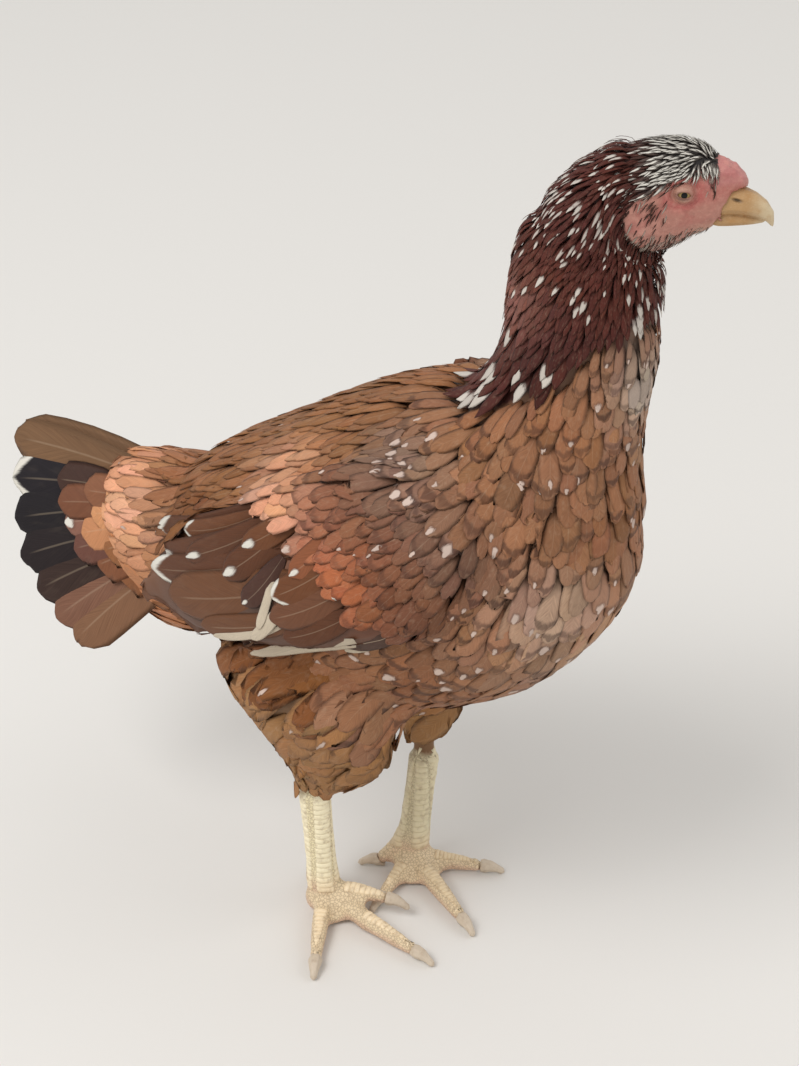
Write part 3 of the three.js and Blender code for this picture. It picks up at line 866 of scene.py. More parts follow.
class Anatomy:
    """Which solid each place on the bird belongs to."""

    def __init__(self, names: Sequence[str]) -> None:
        """Reads the faces of the named solids."""
        points, faces, owner = [], [], []
        for number, name in enumerate(names):
            mesh = frame["nodes"][name].data
            start = len(points)
            points += [tuple(v.co) for v in mesh.vertices]
            faces += [tuple(start + v for v in p.vertices) for p in mesh.polygons]
            owner += [number] * len(mesh.polygons)
        self.tree = BVHTree.FromPolygons(points, faces)
        self.owner = np.array(owner)

    def node_at(self, places: np.ndarray) -> np.ndarray:
        """The number of the nearest solid, for each place."""
        return self.owner[[self.tree.find_nearest(p)[2] for p in places.tolist()]]


# ---------------------------------------------------------------- plumage
@dataclass(frozen=True)
class Vane:
    """The outline and section of a feather: half-width at each row, droop of its edges, thickness."""

    rows: tuple[float, ...]
    width: tuple[float, ...]
    cup: float = 0.06
    thick: float = 0.22
    columns: tuple[float, ...] = (-1.0, -0.55, 0.0, 0.55, 1.0)
    ragged: float = 0.025


ROUND = Vane((0, 0.25, 0.5, 0.7, 0.84, 0.93, 0.98, 1), (0.25, 0.8, 1, 1, 0.92, 0.72, 0.45, 0.2))
BLUNT = Vane((0, 0.25, 0.5, 0.72, 0.87, 0.95, 0.985, 1), (0.25, 0.8, 1, 1, 0.94, 0.76, 0.5, 0.28))
LANCE = Vane((0, 0.22, 0.45, 0.66, 0.81, 0.92, 1), (0.3, 0.82, 1, 0.95, 0.75, 0.45, 0.08), cup=0.08)
BRISTLE = Vane((0, 0.35, 0.7, 1), (0.5, 1, 0.8, 0.1), cup=0.15, thick=0.14, columns=(-1.0, 0.0, 1.0))
LOOSE = Vane((0, 0.25, 0.5, 0.7, 0.84, 0.93, 1), (0.3, 0.8, 1, 0.98, 0.8, 0.5, 0.15), cup=0.05, ragged=0.035)
QUILL = Vane((0, 0.14, 0.3, 0.46, 0.6, 0.74, 0.85, 0.92, 0.965, 0.99, 1),
             (0.35, 0.7, 0.88, 0.96, 1, 1, 0.96, 0.86, 0.68, 0.42, 0.2), cup=0.12, thick=0.5,
             columns=(-1.0, -0.78, -0.5, -0.22, 0.0, 0.22, 0.5, 0.78, 1.0), ragged=0.006)


@dataclass
class Look:
    """Colours and marks of many feathers: ground, mark colour, and how strong each mark is."""

    tone: np.ndarray
    mark: np.ndarray
    spot: np.ndarray
    scallop: np.ndarray
    shaft: np.ndarray
    streak: np.ndarray


class Coat:
    """Feathers gathered into one mesh, each with a patch of the skin's own map where its root is."""

    patch = 0.003

    def __init__(self, name: str, unwrap: Callable[[np.ndarray], np.ndarray]) -> None:
        """Starts an empty piece; unwrap gives the skin's own map at a place."""
        self.name, self.unwrap = name, unwrap
        self.meshes: list[Mesh] = []
        self.maps: list[dict[str, np.ndarray]] = []

    def add(self, vane: Vane, centre: np.ndarray, normal: np.ndarray, half: np.ndarray, look: Look,
            rng: np.random.Generator, roll: float = 3.0) -> None:
        """Lays feathers along their centre lines.

        Args:
            vane: their outline.
            centre: for each feather, one point for each row of the outline.
            normal: the way out of the body at each of those points.
            half: half of each feather's width, in metres.
            look: their colours and marks.
            rng: the source of small differences.
            roll: how far a feather may turn about its shaft, in degrees.
        """
        count, rows = centre.shape[:2]
        if not count:
            return
        tangent = unit(np.gradient(centre, axis=1))
        across = unit(np.cross(normal, tangent))
        lean = np.radians(rng.normal(0, roll, count))[:, None, None]
        across, out = (across * np.cos(lean) + normal * np.sin(lean),
                       normal * np.cos(lean) - across * np.sin(lean))
        columns, wide = np.array(vane.columns), np.array(vane.width)[None, :, None]
        width = wide * half[:, None, None] * columns
        jag = np.zeros((count, rows, len(columns)))
        length = np.linalg.norm(np.diff(centre, axis=1), axis=2).sum(1)
        jag[:, -4:-1] = rng.normal(0, vane.ragged, (count, 3, len(columns))) * length[:, None, None]
        jag -= 0.25 * np.abs(width) * (np.array(vane.rows) > 0.85)[None, :, None]
        droop = vane.cup * half[:, None, None] * columns ** 2 * wide
        top = (centre[:, :, None] + across[:, :, None] * width[..., None]
               + tangent[:, :, None] * jag[..., None] - out[:, :, None] * droop[..., None])
        keel = vane.thick * MM * np.array((0.5,) + (1.0,) * (rows - 2) + (0.4,))
        below = top[:, :, vane.columns.index(0.0)] - out * keel[:, None]
        total = rows * (len(columns) + 1)
        faces = lens_faces(rows, len(columns))[None] + (np.arange(count) * total)[:, None, None]
        vane_u = np.append((columns + 1) / 2, 0.5)
        uv = np.stack(np.broadcast_arrays(vane_u[None, :], np.array(vane.rows)[:, None]), -1)
        uv = np.broadcast_to(uv[None], (count, rows, len(columns) + 1, 2))
        roots = self.unwrap(centre[:, 0])
        each = lambda values: np.repeat(values, total, axis=0)
        self.meshes.append((np.concatenate([top, below[:, :, None]], 2).reshape(-1, 3), faces.reshape(-1, 4)))
        self.maps.append({
            "Vane": uv.reshape(-1, 2),
            "OFBake": (roots[:, None, None] + (uv - 0.5) * self.patch).reshape(-1, 2),
            "tone": each(look.tone), "mark": each(look.mark),
            "pattern": each(np.stack([look.spot, look.scallop, look.shaft], 1)),
            "streak": each(look.streak), "seed": each(rng.random(count))})

    def add_quill(self, centre: np.ndarray, normal: np.ndarray, half: float, tone: Colour,
                  marks: tuple[float, float, float], rng: np.random.Generator, roll: float) -> None:
        """Lays one stiff feather.

        Args:
            centre: the points of its centre line.
            normal: the way out of the body at each.
            half: half of its width, in millimetres.
            tone: its colour.
            marks: how strong its spot, scallop and shaft are.
            rng: the source of small differences.
            roll: how far it may turn about its shaft, in degrees.
        """
        look = Look(np.array([tone]), np.array([WHITE]), *np.array(marks)[:, None], np.zeros(1))
        self.add(QUILL, centre[None], normal[None], np.array([half * MM]), look, rng, roll)

    def finish(self, material: bpy.types.Material) -> bpy.types.Object:
        """Makes the mesh, with its maps and attributes, and gives it its finish.

        Args:
            material: its finish.

        Returns:
            The finished piece.
        """
        obj = mesh_from(self.name, *stacked(self.meshes))
        for key in self.maps[0]:
            values = np.concatenate([part[key] for part in self.maps])
            if key in ("Vane", "OFBake"):
                put_uv(obj, key, values, shown=key == "Vane")
            else:
                put_attribute(obj, key, values)
        obj.data.uv_layers.active_index = 0
        finish_piece(obj, material)
        return obj


def lens_faces(rows: int, columns: int) -> np.ndarray:
    """Faces of a closed thin lens: a grid on top, a keel below it, and both ends shut.

    Args:
        rows: how many rows the top has.
        columns: how many columns the top has, an odd number with an even middle.

    Returns:
        Rows of four vertex numbers; each row of vertices ends with its keel.
    """
    stride = columns + 1
    faces = []
    for row in range(rows - 1):
        here, after = row * stride, (row + 1) * stride
        faces += [(here + c, after + c, after + c + 1, here + c + 1) for c in range(columns - 1)]
        faces.append((here, here + columns, after + columns, after))
        faces.append((here + columns, here + columns - 1, after + columns - 1, after + columns))
    for row, turn in ((0, 1), (rows - 1, -1)):
        at = row * stride
        faces += [(at + c, at + c + 1, at + c + 2, at + columns)[::turn] for c in range(0, columns - 1, 2)]
    return np.array(faces)


@dataclass(frozen=True)
class Blush:
    """A patch of the plumage with a colour of its own, on both sides of the bird."""

    node: str
    at: Place
    radius: float
    code: str


WHITE = srgb("ddd8cd")
ASHY_WHITE = srgb("c6bdb3")
ROSY_WHITE = srgb("c9b3a6")
TRACT_TONES = dict(zip(Tract, map(srgb, (
    "2b2422", "542922", "996b4d", "8f603d", "85532f", "744a33", "a1744a", "b97c54", "4a3028"))))
BLUSHES = [Blush(node, *entry) for node, entries in {
    "wing_right": [
        ((0.95, 0.5, 0.85), 26, "7e5a48"), ((0.95, 0, 0.45), 24, "654233"),
        ((0.7, 0, 0.72), 28, "b56a4a"), ((0.53, 0.4, 0.83), 25, "e2a482"),
        ((0.79, 0, 0.58), 16, "a9623f"), ((0.45, 0.1, 0.35), 25, "6c4731")],
    "neck": [
        ((0.2, 0.5, 0.66), 18, "8f5342"), ((0.45, 0.15, 0.63), 17, "9c6a5c"),
        ((0.12, 0.2, 0.42), 19, "803f2b"), ((0.6, 0, 0.46), 20, "2e1514")],
    "trunk": [
        ((1, 0.5, 0.4), 30, "b8957a"), ((0.93, 0.15, 0.35), 16, "b79c88"), ((0.73, 0.05, 0.3), 20, "7c4a2a"),
        ((1, 0.5, 1.06), 13, "c3b3a6"), ((0.72, 0.5, 1), 34, "946240"), ((0.66, 0.2, 0.88), 22, "8b7262"),
        ((0.43, 0.2, 0.74), 20, "cf9776"), ((0.94, 0.22, 0.58), 22, "c8a78f")],
    "tail_coverts": [((0.9, 0.5, 0.9), 16, "8f5f40"), ((0.6, 0.12, 0.76), 28, "eeb08a")],
}.items() for entry in entries]


class Plumage:
    """The colours and markings of the bird, the same for its skin and its feathers."""

    def tone(self, tract: Tract, places: np.ndarray) -> np.ndarray:
        """The ground colour of a tract at each place; the blushes of the neck are the hackle's alone.

        Args:
            tract: the field of plumage.
            places: points in metres.

        Returns:
            A colour for each.
        """
        tone = np.broadcast_to(np.array(TRACT_TONES[tract]), (len(places), 3)).copy()
        if tract is Tract.CROWN:
            return blend(tone, TRACT_TONES[Tract.HACKLE], smooth(-HEAD.local(places)[:, :1], 6, 22))
        for blush in BLUSHES:
            if (blush.node == "neck") == (tract is Tract.HACKLE):
                for mirrored in (False, True):
                    far = np.linalg.norm(places - spot(blush.node, blush.at, mirrored), axis=1)
                    share = np.exp(-(far / (blush.radius * MM)) ** 2)[:, None]
                    tone = blend(tone, srgb(blush.code), share)
        return tone

    def look(self, tract: Tract, places: np.ndarray, rng: np.random.Generator) -> Look:
        """Colours and marks of the feathers of a tract.

        Args:
            tract: the field of plumage.
            places: the feathers' roots.
            rng: the source of differences between feathers.

        Returns:
            Their look.
        """
        count = len(places)
        chance = rng.random((5, count))
        x, y, z = places.T / MM
        ripple = 0.08 * np.sin(x / 11 + 1.4 * np.sin(z / 16)) * np.sin(z / 13 + y / 21)
        uneven = 0.05 if tract in (Tract.THIGH, Tract.BELLY) else 0.08
        tone = self.tone(tract, places) * (1 + ripple + rng.normal(0, uneven, count))[:, None]
        rosy = 0.06 * np.sin(z / 9 + 2 * np.sin(x / 19)) + rng.normal(0, 0.04, count)
        tone *= 1 + rosy[:, None] * np.array((-0.3, 0.2, 1.2)) + rng.normal(0, 0.02, (count, 3))
        spot_share, spot_size, scallop, shaft, streak = 0.05, (0.22, 0.38), 0.3, 0.2, 0.0
        mark = np.array(ROSY_WHITE)
        crescents = np.zeros(count, bool)
        if tract is Tract.CROWN:
            mark = np.array(WHITE)
            fore = smooth(HEAD.local(places)[:, 0], -20, -2)
            spot_share, shaft, scallop = 0.0, 0.0, 0.0
            streak = (chance[1] < 0.3 + 0.68 * fore) * rng.uniform(0.75, 1, count)
            tone += (np.array(ASHY_WHITE) - tone) * (0.4 * fore * chance[2])[:, None]
        elif tract is Tract.FACE:
            pale = (chance[1] < 0.45 - near_ear(places))[:, None]
            tone = np.where(pale, np.array(srgb("a89a8e")), tone)
            spot_share, shaft, scallop = 0.0, 0.0, 0.0
        elif tract is Tract.HACKLE:
            mark = np.array(ASHY_WHITE)
            along, _, height = shares("neck", places).T
            front = smooth(along, 0.75, 0.95)
            hem = smooth(above_hem(places), 36, 24)
            near_head = smooth(height, 0.74, 0.9)
            spot_share = 0.04 + 0.16 * front + 0.2 * hem + 0.22 * near_head
            spot_size, shaft, scallop = (0.6 + 0.4 * hem, 1.1 + 0.4 * hem), 0.05, 0.05
            streak = (chance[1] < 0.2 * near_head + 0.08 * front) * 0.85
        elif tract is Tract.BREAST:
            spot_share, spot_size, scallop = 0.22, (0.24, 0.5), 0.8 * (chance[2] < 0.5)
        elif tract is Tract.BACK:
            spot_share, shaft, scallop = 0.015, 0.4, 0.1
        elif tract is Tract.WING:
            crescents = (covert_room(places) < 8) & (chance[4] < 0.18)
            spot_share, spot_size, scallop, shaft = 0.08, (0.2, 0.45), 0.5 * (chance[2] < 0.5), 0.2
        elif tract in (Tract.THIGH, Tract.BELLY):
            spot_share, spot_size, scallop, shaft = 0.05, (0.2, 0.3), 0.2 * (chance[2] < 0.4), 0.1
        elif tract is Tract.TAIL:
            spot_share, spot_size, scallop, shaft = 0.04, (0.25, 0.4), 0.05, 0.1
        size = spot_size[0] + (spot_size[1] - spot_size[0]) * chance[3] ** 1.5
        fill = lambda value: np.broadcast_to(np.asarray(value, float), (count,)).copy()
        mark = mark * (1 + rng.normal(0, 0.06, count))[:, None]
        spots = np.where(crescents, -0.5, np.where(chance[0] < spot_share, size, 0))
        mark = np.where(crescents[:, None], np.array(WHITE), mark)
        return Look(np.clip(tone, 0, 1), np.clip(mark, 0, 1), fill(spots),
                    fill(scallop) * rng.uniform(0.6, 1, count), fill(shaft) * rng.uniform(0.4, 1, count),
                    fill(streak))


PLUMAGE = Plumage()


@dataclass(frozen=True)
class Growth:
    """How the feathers of one tract are laid: outline, depth of the coat, spacing and looseness.

    Bend tells how early a feather rises to the full depth, and curl how far its tip is tucked down again.
    A feather that would crumple, its ends nearer than the straight share of its length, is left out.
    """

    vane: Vane
    depth: float
    spread: float = 0.6
    loose: float = 5.0
    base: float = 0.1
    bend: float = 0.32
    curl: float = 0.25
    uneven: float = 0.16
    hang: float = 0.0
    straight: float = 0.0
    scale: tuple[float, float, float] = (1.0, 1.0, 1.0)


GROWTHS = {
    Tract.CROWN: Growth(BRISTLE, 1.6, 0.62, 9, bend=0.5, curl=0.05, uneven=0.15),
    Tract.HACKLE: Growth(LANCE, 5.6, 0.48, 6, bend=0.4, uneven=0.15),
    Tract.BREAST: Growth(BLUNT, 4.6, 0.46, 9, curl=0.45, uneven=0.08),
    Tract.BACK: Growth(LANCE, 4.8, 0.46, 7, uneven=0.12),
    Tract.BELLY: Growth(LOOSE, 4.6, 0.46, 6, curl=0.45, uneven=0.05, hang=0.95, straight=0.94),
    Tract.WING: Growth(ROUND, 4.4, 0.46, 8, curl=0.45, uneven=0.08),
    Tract.THIGH: Growth(LOOSE, 4.7, 0.44, 5, curl=0.5, uneven=0.04),
    Tract.TAIL: Growth(ROUND, 5.2, 0.44, 7, curl=0.4, uneven=0.08),
    Tract.FACE: Growth(BRISTLE, 0.7, 0.62, 16, base=0, bend=1.0, curl=0, uneven=0.1, scale=(0.4, 0.65, 1.0)),
}


def between_legs(places: np.ndarray) -> np.ndarray:
    """How much a place is in the fluff that hangs between the thighs, from 0 to 1."""
    x, y, z = (places - spot("trunk", (0.5, 0.5, 0))).T / MM
    return mound(x, y, (0, 0), (42, 30)) * smooth(z, 34, 8)


def covert_room(places: np.ndarray) -> np.ndarray:
    """Millimetres in front of the line on the closed wing behind which no covert grows."""
    return np.where(places[:, 1] < 0, *(Wing(side).room(places) for side in SIDES))


# The hackle's hem from the back to the front of the neck, as shares of the neck's box, and how many
# millimetres above it the hackle's feathers and the hackle's part of the skin start.
HACKLE_HEM = ((-0.4, 0.55), (-0.12, 0.25), (0.0, 0.13), (0.21, 0.12), (0.33, 0.16), (0.45, 0.21),
              (0.66, 0.32), (0.85, 0.46), (0.97, 0.51))
HACKLE_SHOWN = 13.0
HACKLE_FROM = 5.0


def above_hem(places: np.ndarray) -> np.ndarray:
    """Millimetres above the hem of the hackle."""
    along, _, height = shares("neck", places).T
    low, high = corners("neck")
    return (height - np.interp(along, *zip(*HACKLE_HEM))) * (high - low)[2] / MM


def tract_of(name: str, places: np.ndarray) -> np.ndarray:
    """The tract that each place of a solid belongs to.

    Args:
        name: the solid.
        places: points on it.

    Returns:
        The tract's number for each.
    """
    kind = name.split("_")[0]
    if kind == "head":
        x, y, z = HEAD.local(places).T
        return np.where((x + 2 * np.sin(y) < -23) | (z < -13), Tract.HACKLE, Tract.CROWN)
    kinds = {"comb": Tract.CROWN, "tail": Tract.TAIL, "wing": Tract.WING, "thigh": Tract.THIGH}
    if kind in kinds:
        return np.full(len(places), kinds[kind])
    along, _, height = shares("trunk", places).T
    back = (height > 0.5 + 0.32 * along) & (along < 0.66)
    body = np.where(back, Tract.BACK, np.where(along + 0.25 * height > 0.62, Tract.BREAST, Tract.BELLY))
    return np.where(above_hem(places) > HACKLE_FROM, Tract.HACKLE, body)


def tracts_at(nodes: np.ndarray, places: np.ndarray) -> np.ndarray:
    """The tract of each place from the number of its solid, or -1 on the feet."""
    tracts = np.full(len(places), -1)
    for number, name in enumerate(FLESH):
        chosen = nodes == number
        if chosen.any() and name.split("_")[0] not in ("shank", "foot", "toe"):
            tracts[chosen] = tract_of(name, places[chosen])
    return tracts


class Body:
    """The finished skin as the ground that feathers stand on."""

    def __init__(self, skin: bpy.types.Object) -> None:
        """Reads the skin's triangles, its map and the tract of each.

        Args:
            skin: the finished skin.
        """
        self.surface = Surface(skin)
        mesh = skin.data
        mesh.calc_loop_triangles()
        self.corners = read(mesh.loop_triangles, "vertices", 3, np.int32)
        at = self.surface.points[self.corners]
        self.area = np.linalg.norm(np.cross(at[:, 1] - at[:, 0], at[:, 2] - at[:, 0]), axis=1) / 2
        middles = at.mean(1)
        nodes = Anatomy(FLESH).node_at(middles)
        self.tract = tracts_at(nodes, middles)
        self.bare = np.maximum(bare_face(middles), bare_leg(middles))
        face = (self.bare > -0.3) & np.isin(nodes, [FLESH.index(n) for n in ("head", "neck", "comb")])
        self.tract[face] = Tract.FACE
        self.bare[face] = -bristly(middles[face]) / 0.2
        first = read(mesh.polygons, "loop_start", 1, np.int32)
        self.face_uv = read(mesh.uv_layers[0].data, "uv", 2)[first]

    def unwrap(self, places: np.ndarray) -> np.ndarray:
        """The skin's own map at the skin nearest to each place."""
        return self.face_uv[self.surface.nearest(places)[2]]

    def roots(self, tract: Tract, rng: np.random.Generator) -> tuple[np.ndarray, np.ndarray]:
        """Scatters feather roots over a tract, evenly for the size that feathers have there.

        Args:
            tract: the field of plumage.
            rng: the source of the scatter.

        Returns:
            The roots and the skin's normals there.
        """
        growth = GROWTHS[tract]
        chosen = np.flatnonzero((self.tract == tract) & (self.bare < -0.3))
        area = self.area[chosen]
        size = FIELD.size(self.surface.points[self.corners[chosen, 0]]) * growth.scale
        cell = float(size[:, [0, 2]].prod(1).mean())
        tries = int(area.sum() / (cell * growth.spread) * 9)
        picked = rng.choice(chosen, tries, p=area / area.sum())
        share = np.sort(rng.random((tries, 2)), axis=1)
        weight = np.stack([share[:, 0], share[:, 1] - share[:, 0], 1 - share[:, 1]], 1)[:, :, None]
        places = (self.surface.points[self.corners[picked]] * weight).sum(1)
        normals = unit((self.surface.normals[self.corners[picked]] * weight).sum(1))
        ways = FIELD.way(places, normals)
        size = FIELD.size(places) * growth.scale
        keep = thin_out(places, ways, np.cross(normals, ways), size[:, 2], size[:, 0] * growth.spread)
        return places[keep], normals[keep]

    def march(self, places: np.ndarray, way: np.ndarray, length: np.ndarray, growth: Growth,
              lift: np.ndarray) -> Mesh:
        """Walks each feather's centre line over the skin, rising to the coat's full depth.

        Args:
            places: the roots.
            way: the direction in which each feather starts.
            length: each feather's length.
            growth: how this tract is laid.
            lift: a small height of its own for each feather.

        Returns:
            For each feather, the points of its centre line and the normals there.
        """
        place, normal, _ = self.surface.nearest(places)
        points, normals = [place], [normal]
        rows = growth.vane.rows
        for before, after in zip(rows, rows[1:]):
            step = place + way * (length * (after - before))[:, None]
            place, normal, _ = self.surface.nearest(step)
            way = unit(way * 0.7 + FIELD.way(place, normal) * 0.3)
            way = unit(way - (way * normal).sum(1, keepdims=True) * normal)
            points.append(place)
            normals.append(normal)
        centre, out = np.stack(points, 1), np.stack(normals, 1)
        ease(centre, out, 2)
        share = np.array(rows)
        rise = (growth.base + (1 - growth.base) * share ** growth.bend) * growth.depth
        rise = (rise - growth.curl * smooth(share, 0.8, 1)) * MM
        return centre + out * (rise[None, :] + lift[:, None] * share[None, :])[..., None], out

    def grow(self, coat: Coat, tract: Tract, rng: np.random.Generator,
             keep: Callable[[np.ndarray], np.ndarray] | None = None) -> None:
        """Covers a tract with feathers.

        Args:
            coat: the piece that gets them.
            tract: the field of plumage.
            rng: the source of small differences.
            keep: tells which roots to use; all of them where it isn't given.
        """
        growth = GROWTHS[tract]
        places, normals = self.roots(tract, rng)
        if keep is not None:
            chosen = keep(places)
            places, normals = places[chosen], normals[chosen]
        count = len(places)
        size = FIELD.size(places) * growth.scale * rng.normal(1, 0.13, (count, 1)).clip(0.75, 1.3)
        way = FIELD.way(places, normals)
        yaw = np.radians(rng.normal(0, growth.loose, count))[:, None]
        way = unit(way * np.cos(yaw) + np.cross(normals, way) * np.sin(yaw))
        lift = rng.normal(0, growth.uneven * MM, count) + rng.random(count) * growth.loose * 0.04 * MM
        centre, out = self.march(places, way, size[:, 1], growth, lift)
        length = np.linalg.norm(np.diff(centre, axis=1), axis=2).sum(1)
        even = np.linalg.norm(centre[:, -1] - centre[:, 0], axis=1) >= growth.straight * length
        places, size, centre, out = places[even], size[even], centre[even], out[even]
        drop = growth.hang * between_legs(places) * size[:, 1]
        centre[..., 2] -= drop[:, None] * np.array(growth.vane.rows) ** 1.4
        coat.add(growth.vane, centre, out, size[:, 0] / 2, PLUMAGE.look(tract, places, rng), rng)


def ease(points: np.ndarray, ways: np.ndarray, rounds: int) -> None:
    """Evens lines of points and the ways out at them, in place, with their ends held."""
    for _ in range(rounds):
        for line in (points, ways):
            line[..., 1:-1, :] = 0.25 * line[..., :-2, :] + 0.5 * line[..., 1:-1, :] + 0.25 * line[..., 2:, :]
        ways[..., 1:-1, :] = unit(ways[..., 1:-1, :])


LIMITS: dict[Tract, Callable[[np.ndarray], np.ndarray]] = {
    Tract.HACKLE: lambda places: above_hem(places) > HACKLE_SHOWN,
    Tract.WING: lambda places: covert_room(places) > 0,
    Tract.THIGH: lambda places: -bare_leg(places) > 0.85 * FIELD.size(places)[:, 1] / MM + 4,
    Tract.FACE: lambda places: bristly(places) > np.random.default_rng(SEED).random(len(places)),
}


def thin_out(places: np.ndarray, ways: np.ndarray, across: np.ndarray, along_gap: np.ndarray,
             across_gap: np.ndarray) -> np.ndarray:
    """Keeps as many points as fit with a gap along and across the lie between any two.

    Args:
        places: candidate points.
        ways: the lie at each.
        across: the direction across it.
        along_gap: the gap along the lie.
        across_gap: the gap across it.

    Returns:
        The numbers of the points kept.
    """
    cell = float(max(along_gap.max(), across_gap.max()))
    keys = np.floor(places / cell).astype(int)
    grid: dict[tuple[int, int, int], list[int]] = {}
    scale_along, scale_across = ways / along_gap[:, None], across / across_gap[:, None]
    kept = []
    around = [(i, j, k) for i in (-1, 0, 1) for j in (-1, 0, 1) for k in (-1, 0, 1)]
    for number, (i, j, k) in enumerate(keys.tolist()):
        near = [other for a, b, c in around for other in grid.get((i + a, j + b, k + c), ())]
        if near:
            gap = places[near] - places[number]
            apart = (gap @ scale_along[number]) ** 2 + (gap @ scale_across[number]) ** 2
            if (apart < 1).any():
                continue
        grid.setdefault((i, j, k), []).append(number)
        kept.append(number)
    return np.array(kept)


# ---------------------------------------------------------------- long feathers
@dataclass(frozen=True)
class Quill:
    """One long wing feather: where its root and tip lie on the closed wing, its half-width and its look.

    The first number of a place runs from 0 at the shoulder to 1 at the wing's tip, and the second is
    millimetres above the line between them.
    """

    root: tuple[float, float]
    tip: tuple[float, float]
    half: float
    lift: float
    tone: Colour
    spot: float = 0.0
    shaft: float = 0.3


CREAM = srgb("cdbfa9")
SECONDARY = srgb("6c452c")
DUSKY = srgb("5e3925")
BROWN = srgb("6e442b")
WING_QUILLS = [
    Quill((0.12, -29), (0.42, -43), 3.6, 6.2, CREAM),
    Quill((0.05, -24), (0.42, -38), 4.6, 6.8, srgb("4f3a31"), 0.0, 0.9),
    Quill((0.22, -31), (0.70, -40), 4.4, 6.0, CREAM),
    Quill((0.32, -32), (0.85, -30), 4.6, 4.2, CREAM),
    Quill((0.36, -15), (0.79, -20), 7.5, 2.1, SECONDARY, 0.0, 0.4),
    Quill((0.50, -20), (0.76, -25), 2.4, 2.6, CREAM),
    Quill((0.36, 0), (0.875, -4), 14.5, 2.9, SECONDARY, 0.0, 0.25),
    Quill((0.40, 14), (0.93, 9), 9.0, 3.2, DUSKY, -0.3),
    Quill((0.42, 27), (0.92, 14), 9.0, 3.5, DUSKY, 0.35),
    Quill((0.48, 36), (0.98, 19), 8.5, 3.9, DUSKY, -0.35),
    Quill((0.46, 10), (0.565, -19), 2.6, 3.6, CREAM),
    Quill((0.44, -4), (0.605, -25), 3.4, 3.6, CREAM),
    Quill((0.28, -17), (0.50, -25), 7.5, 3.5, DUSKY, 0.0, 0.3),
    Quill((0.43, 14), (0.585, -6), 6.5, 3.8, srgb("50352c"), 0.2, 0.3),
    Quill((0.38, 33), (0.76, 16), 8.0, 4.1, DUSKY, 0.24),
    Quill((0.26, -4), (0.51, -14), 8.5, 4.0, srgb("6f4833"), 0.0, 0.3),
    Quill((0.34, 34), (0.625, 8), 8.5, 4.4, DUSKY, 0.28),
    Quill((0.47, 34), (0.77, 27), 6.0, 4.0, BROWN, -0.2),
    Quill((0.24, 12), (0.48, -3), 8.0, 4.5, BROWN, -0.15),
    Quill((0.32, 36), (0.54, 21), 7.0, 4.7, BROWN, 0.32),
    Quill((0.22, 28), (0.41, 6), 7.0, 4.8, srgb("8c5539"), 0.22),
]


@dataclass
class Wing:
    """The stiff feathers of one closed wing, laid on its outer side.

    The covert edge tells, for heights above the line to the tip, how far back the coverts' roots go.
    """

    side: str
    covert_edge: tuple[tuple[float, float], ...] = (
        (-60, 0.13), (-34, 0.15), (-15, 0.22), (5, 0.27), (20, 0.32), (32, 0.4), (42, 0.5), (50, 0.7),
        (56, 0.78))
    shoulder: Place = (0.986, 0.5, 0.851)
    point: Place = (0.028, 0.5, 0.134)

    def axes(self) -> tuple[np.ndarray, np.ndarray, np.ndarray]:
        """The shoulder, the way from it to the wing's tip, and the way up across that."""
        start, end = (spot(f"wing_{self.side}", at) for at in (self.shoulder, self.point))
        along = end - start
        return start, along, np.array((along[2], 0, -along[0])) / np.linalg.norm(along)

    def place(self, u: np.ndarray, v: np.ndarray) -> np.ndarray:
        """Points on the middle plane for places on the closed wing."""
        start, along, up = self.axes()
        return start + u[..., None] * along + v[..., None] * up * MM

    def room(self, places: np.ndarray) -> np.ndarray:
        """Millimetres in front of the line behind which no covert has its root."""
        start, along, up = self.axes()
        rel = (places - start) * (1, 0, 1)
        u, v = rel @ along / (along @ along), rel @ up / MM
        return (np.interp(v, *zip(*self.covert_edge)) - u) * np.linalg.norm(along) / MM

    def grow(self, body: Body, coat: Coat, rng: np.random.Generator) -> None:
        """Lays the quills from the lowest to the uppermost.

        Args:
            body: the ground that they lie on.
            coat: the piece that they join.
            rng: the source of small differences.
        """
        way, share = SIDES[self.side], np.array(QUILL.rows)
        for quill in WING_QUILLS:
            u = quill.root[0] + (quill.tip[0] - quill.root[0]) * share
            v = quill.root[1] + (quill.tip[1] - quill.root[1]) * share - 2.5 * np.sin(math.pi * share)
            start = self.place(u, v) + np.array((0, way * 0.12, 0))
            met, normal, _ = body.surface.cast(start, np.broadcast_to((0.0, -way, 0.0), start.shape))
            normal = unit(normal + np.array((0, 1.6 * way, 0)))
            ease(met, normal, 4)
            centre = met + normal * (quill.lift * MM * (0.35 + 0.65 * share))[:, None]
            coat.add_quill(centre, normal, quill.half, quill.tone, (quill.spot, 0.0, quill.shaft), rng, 1.5)


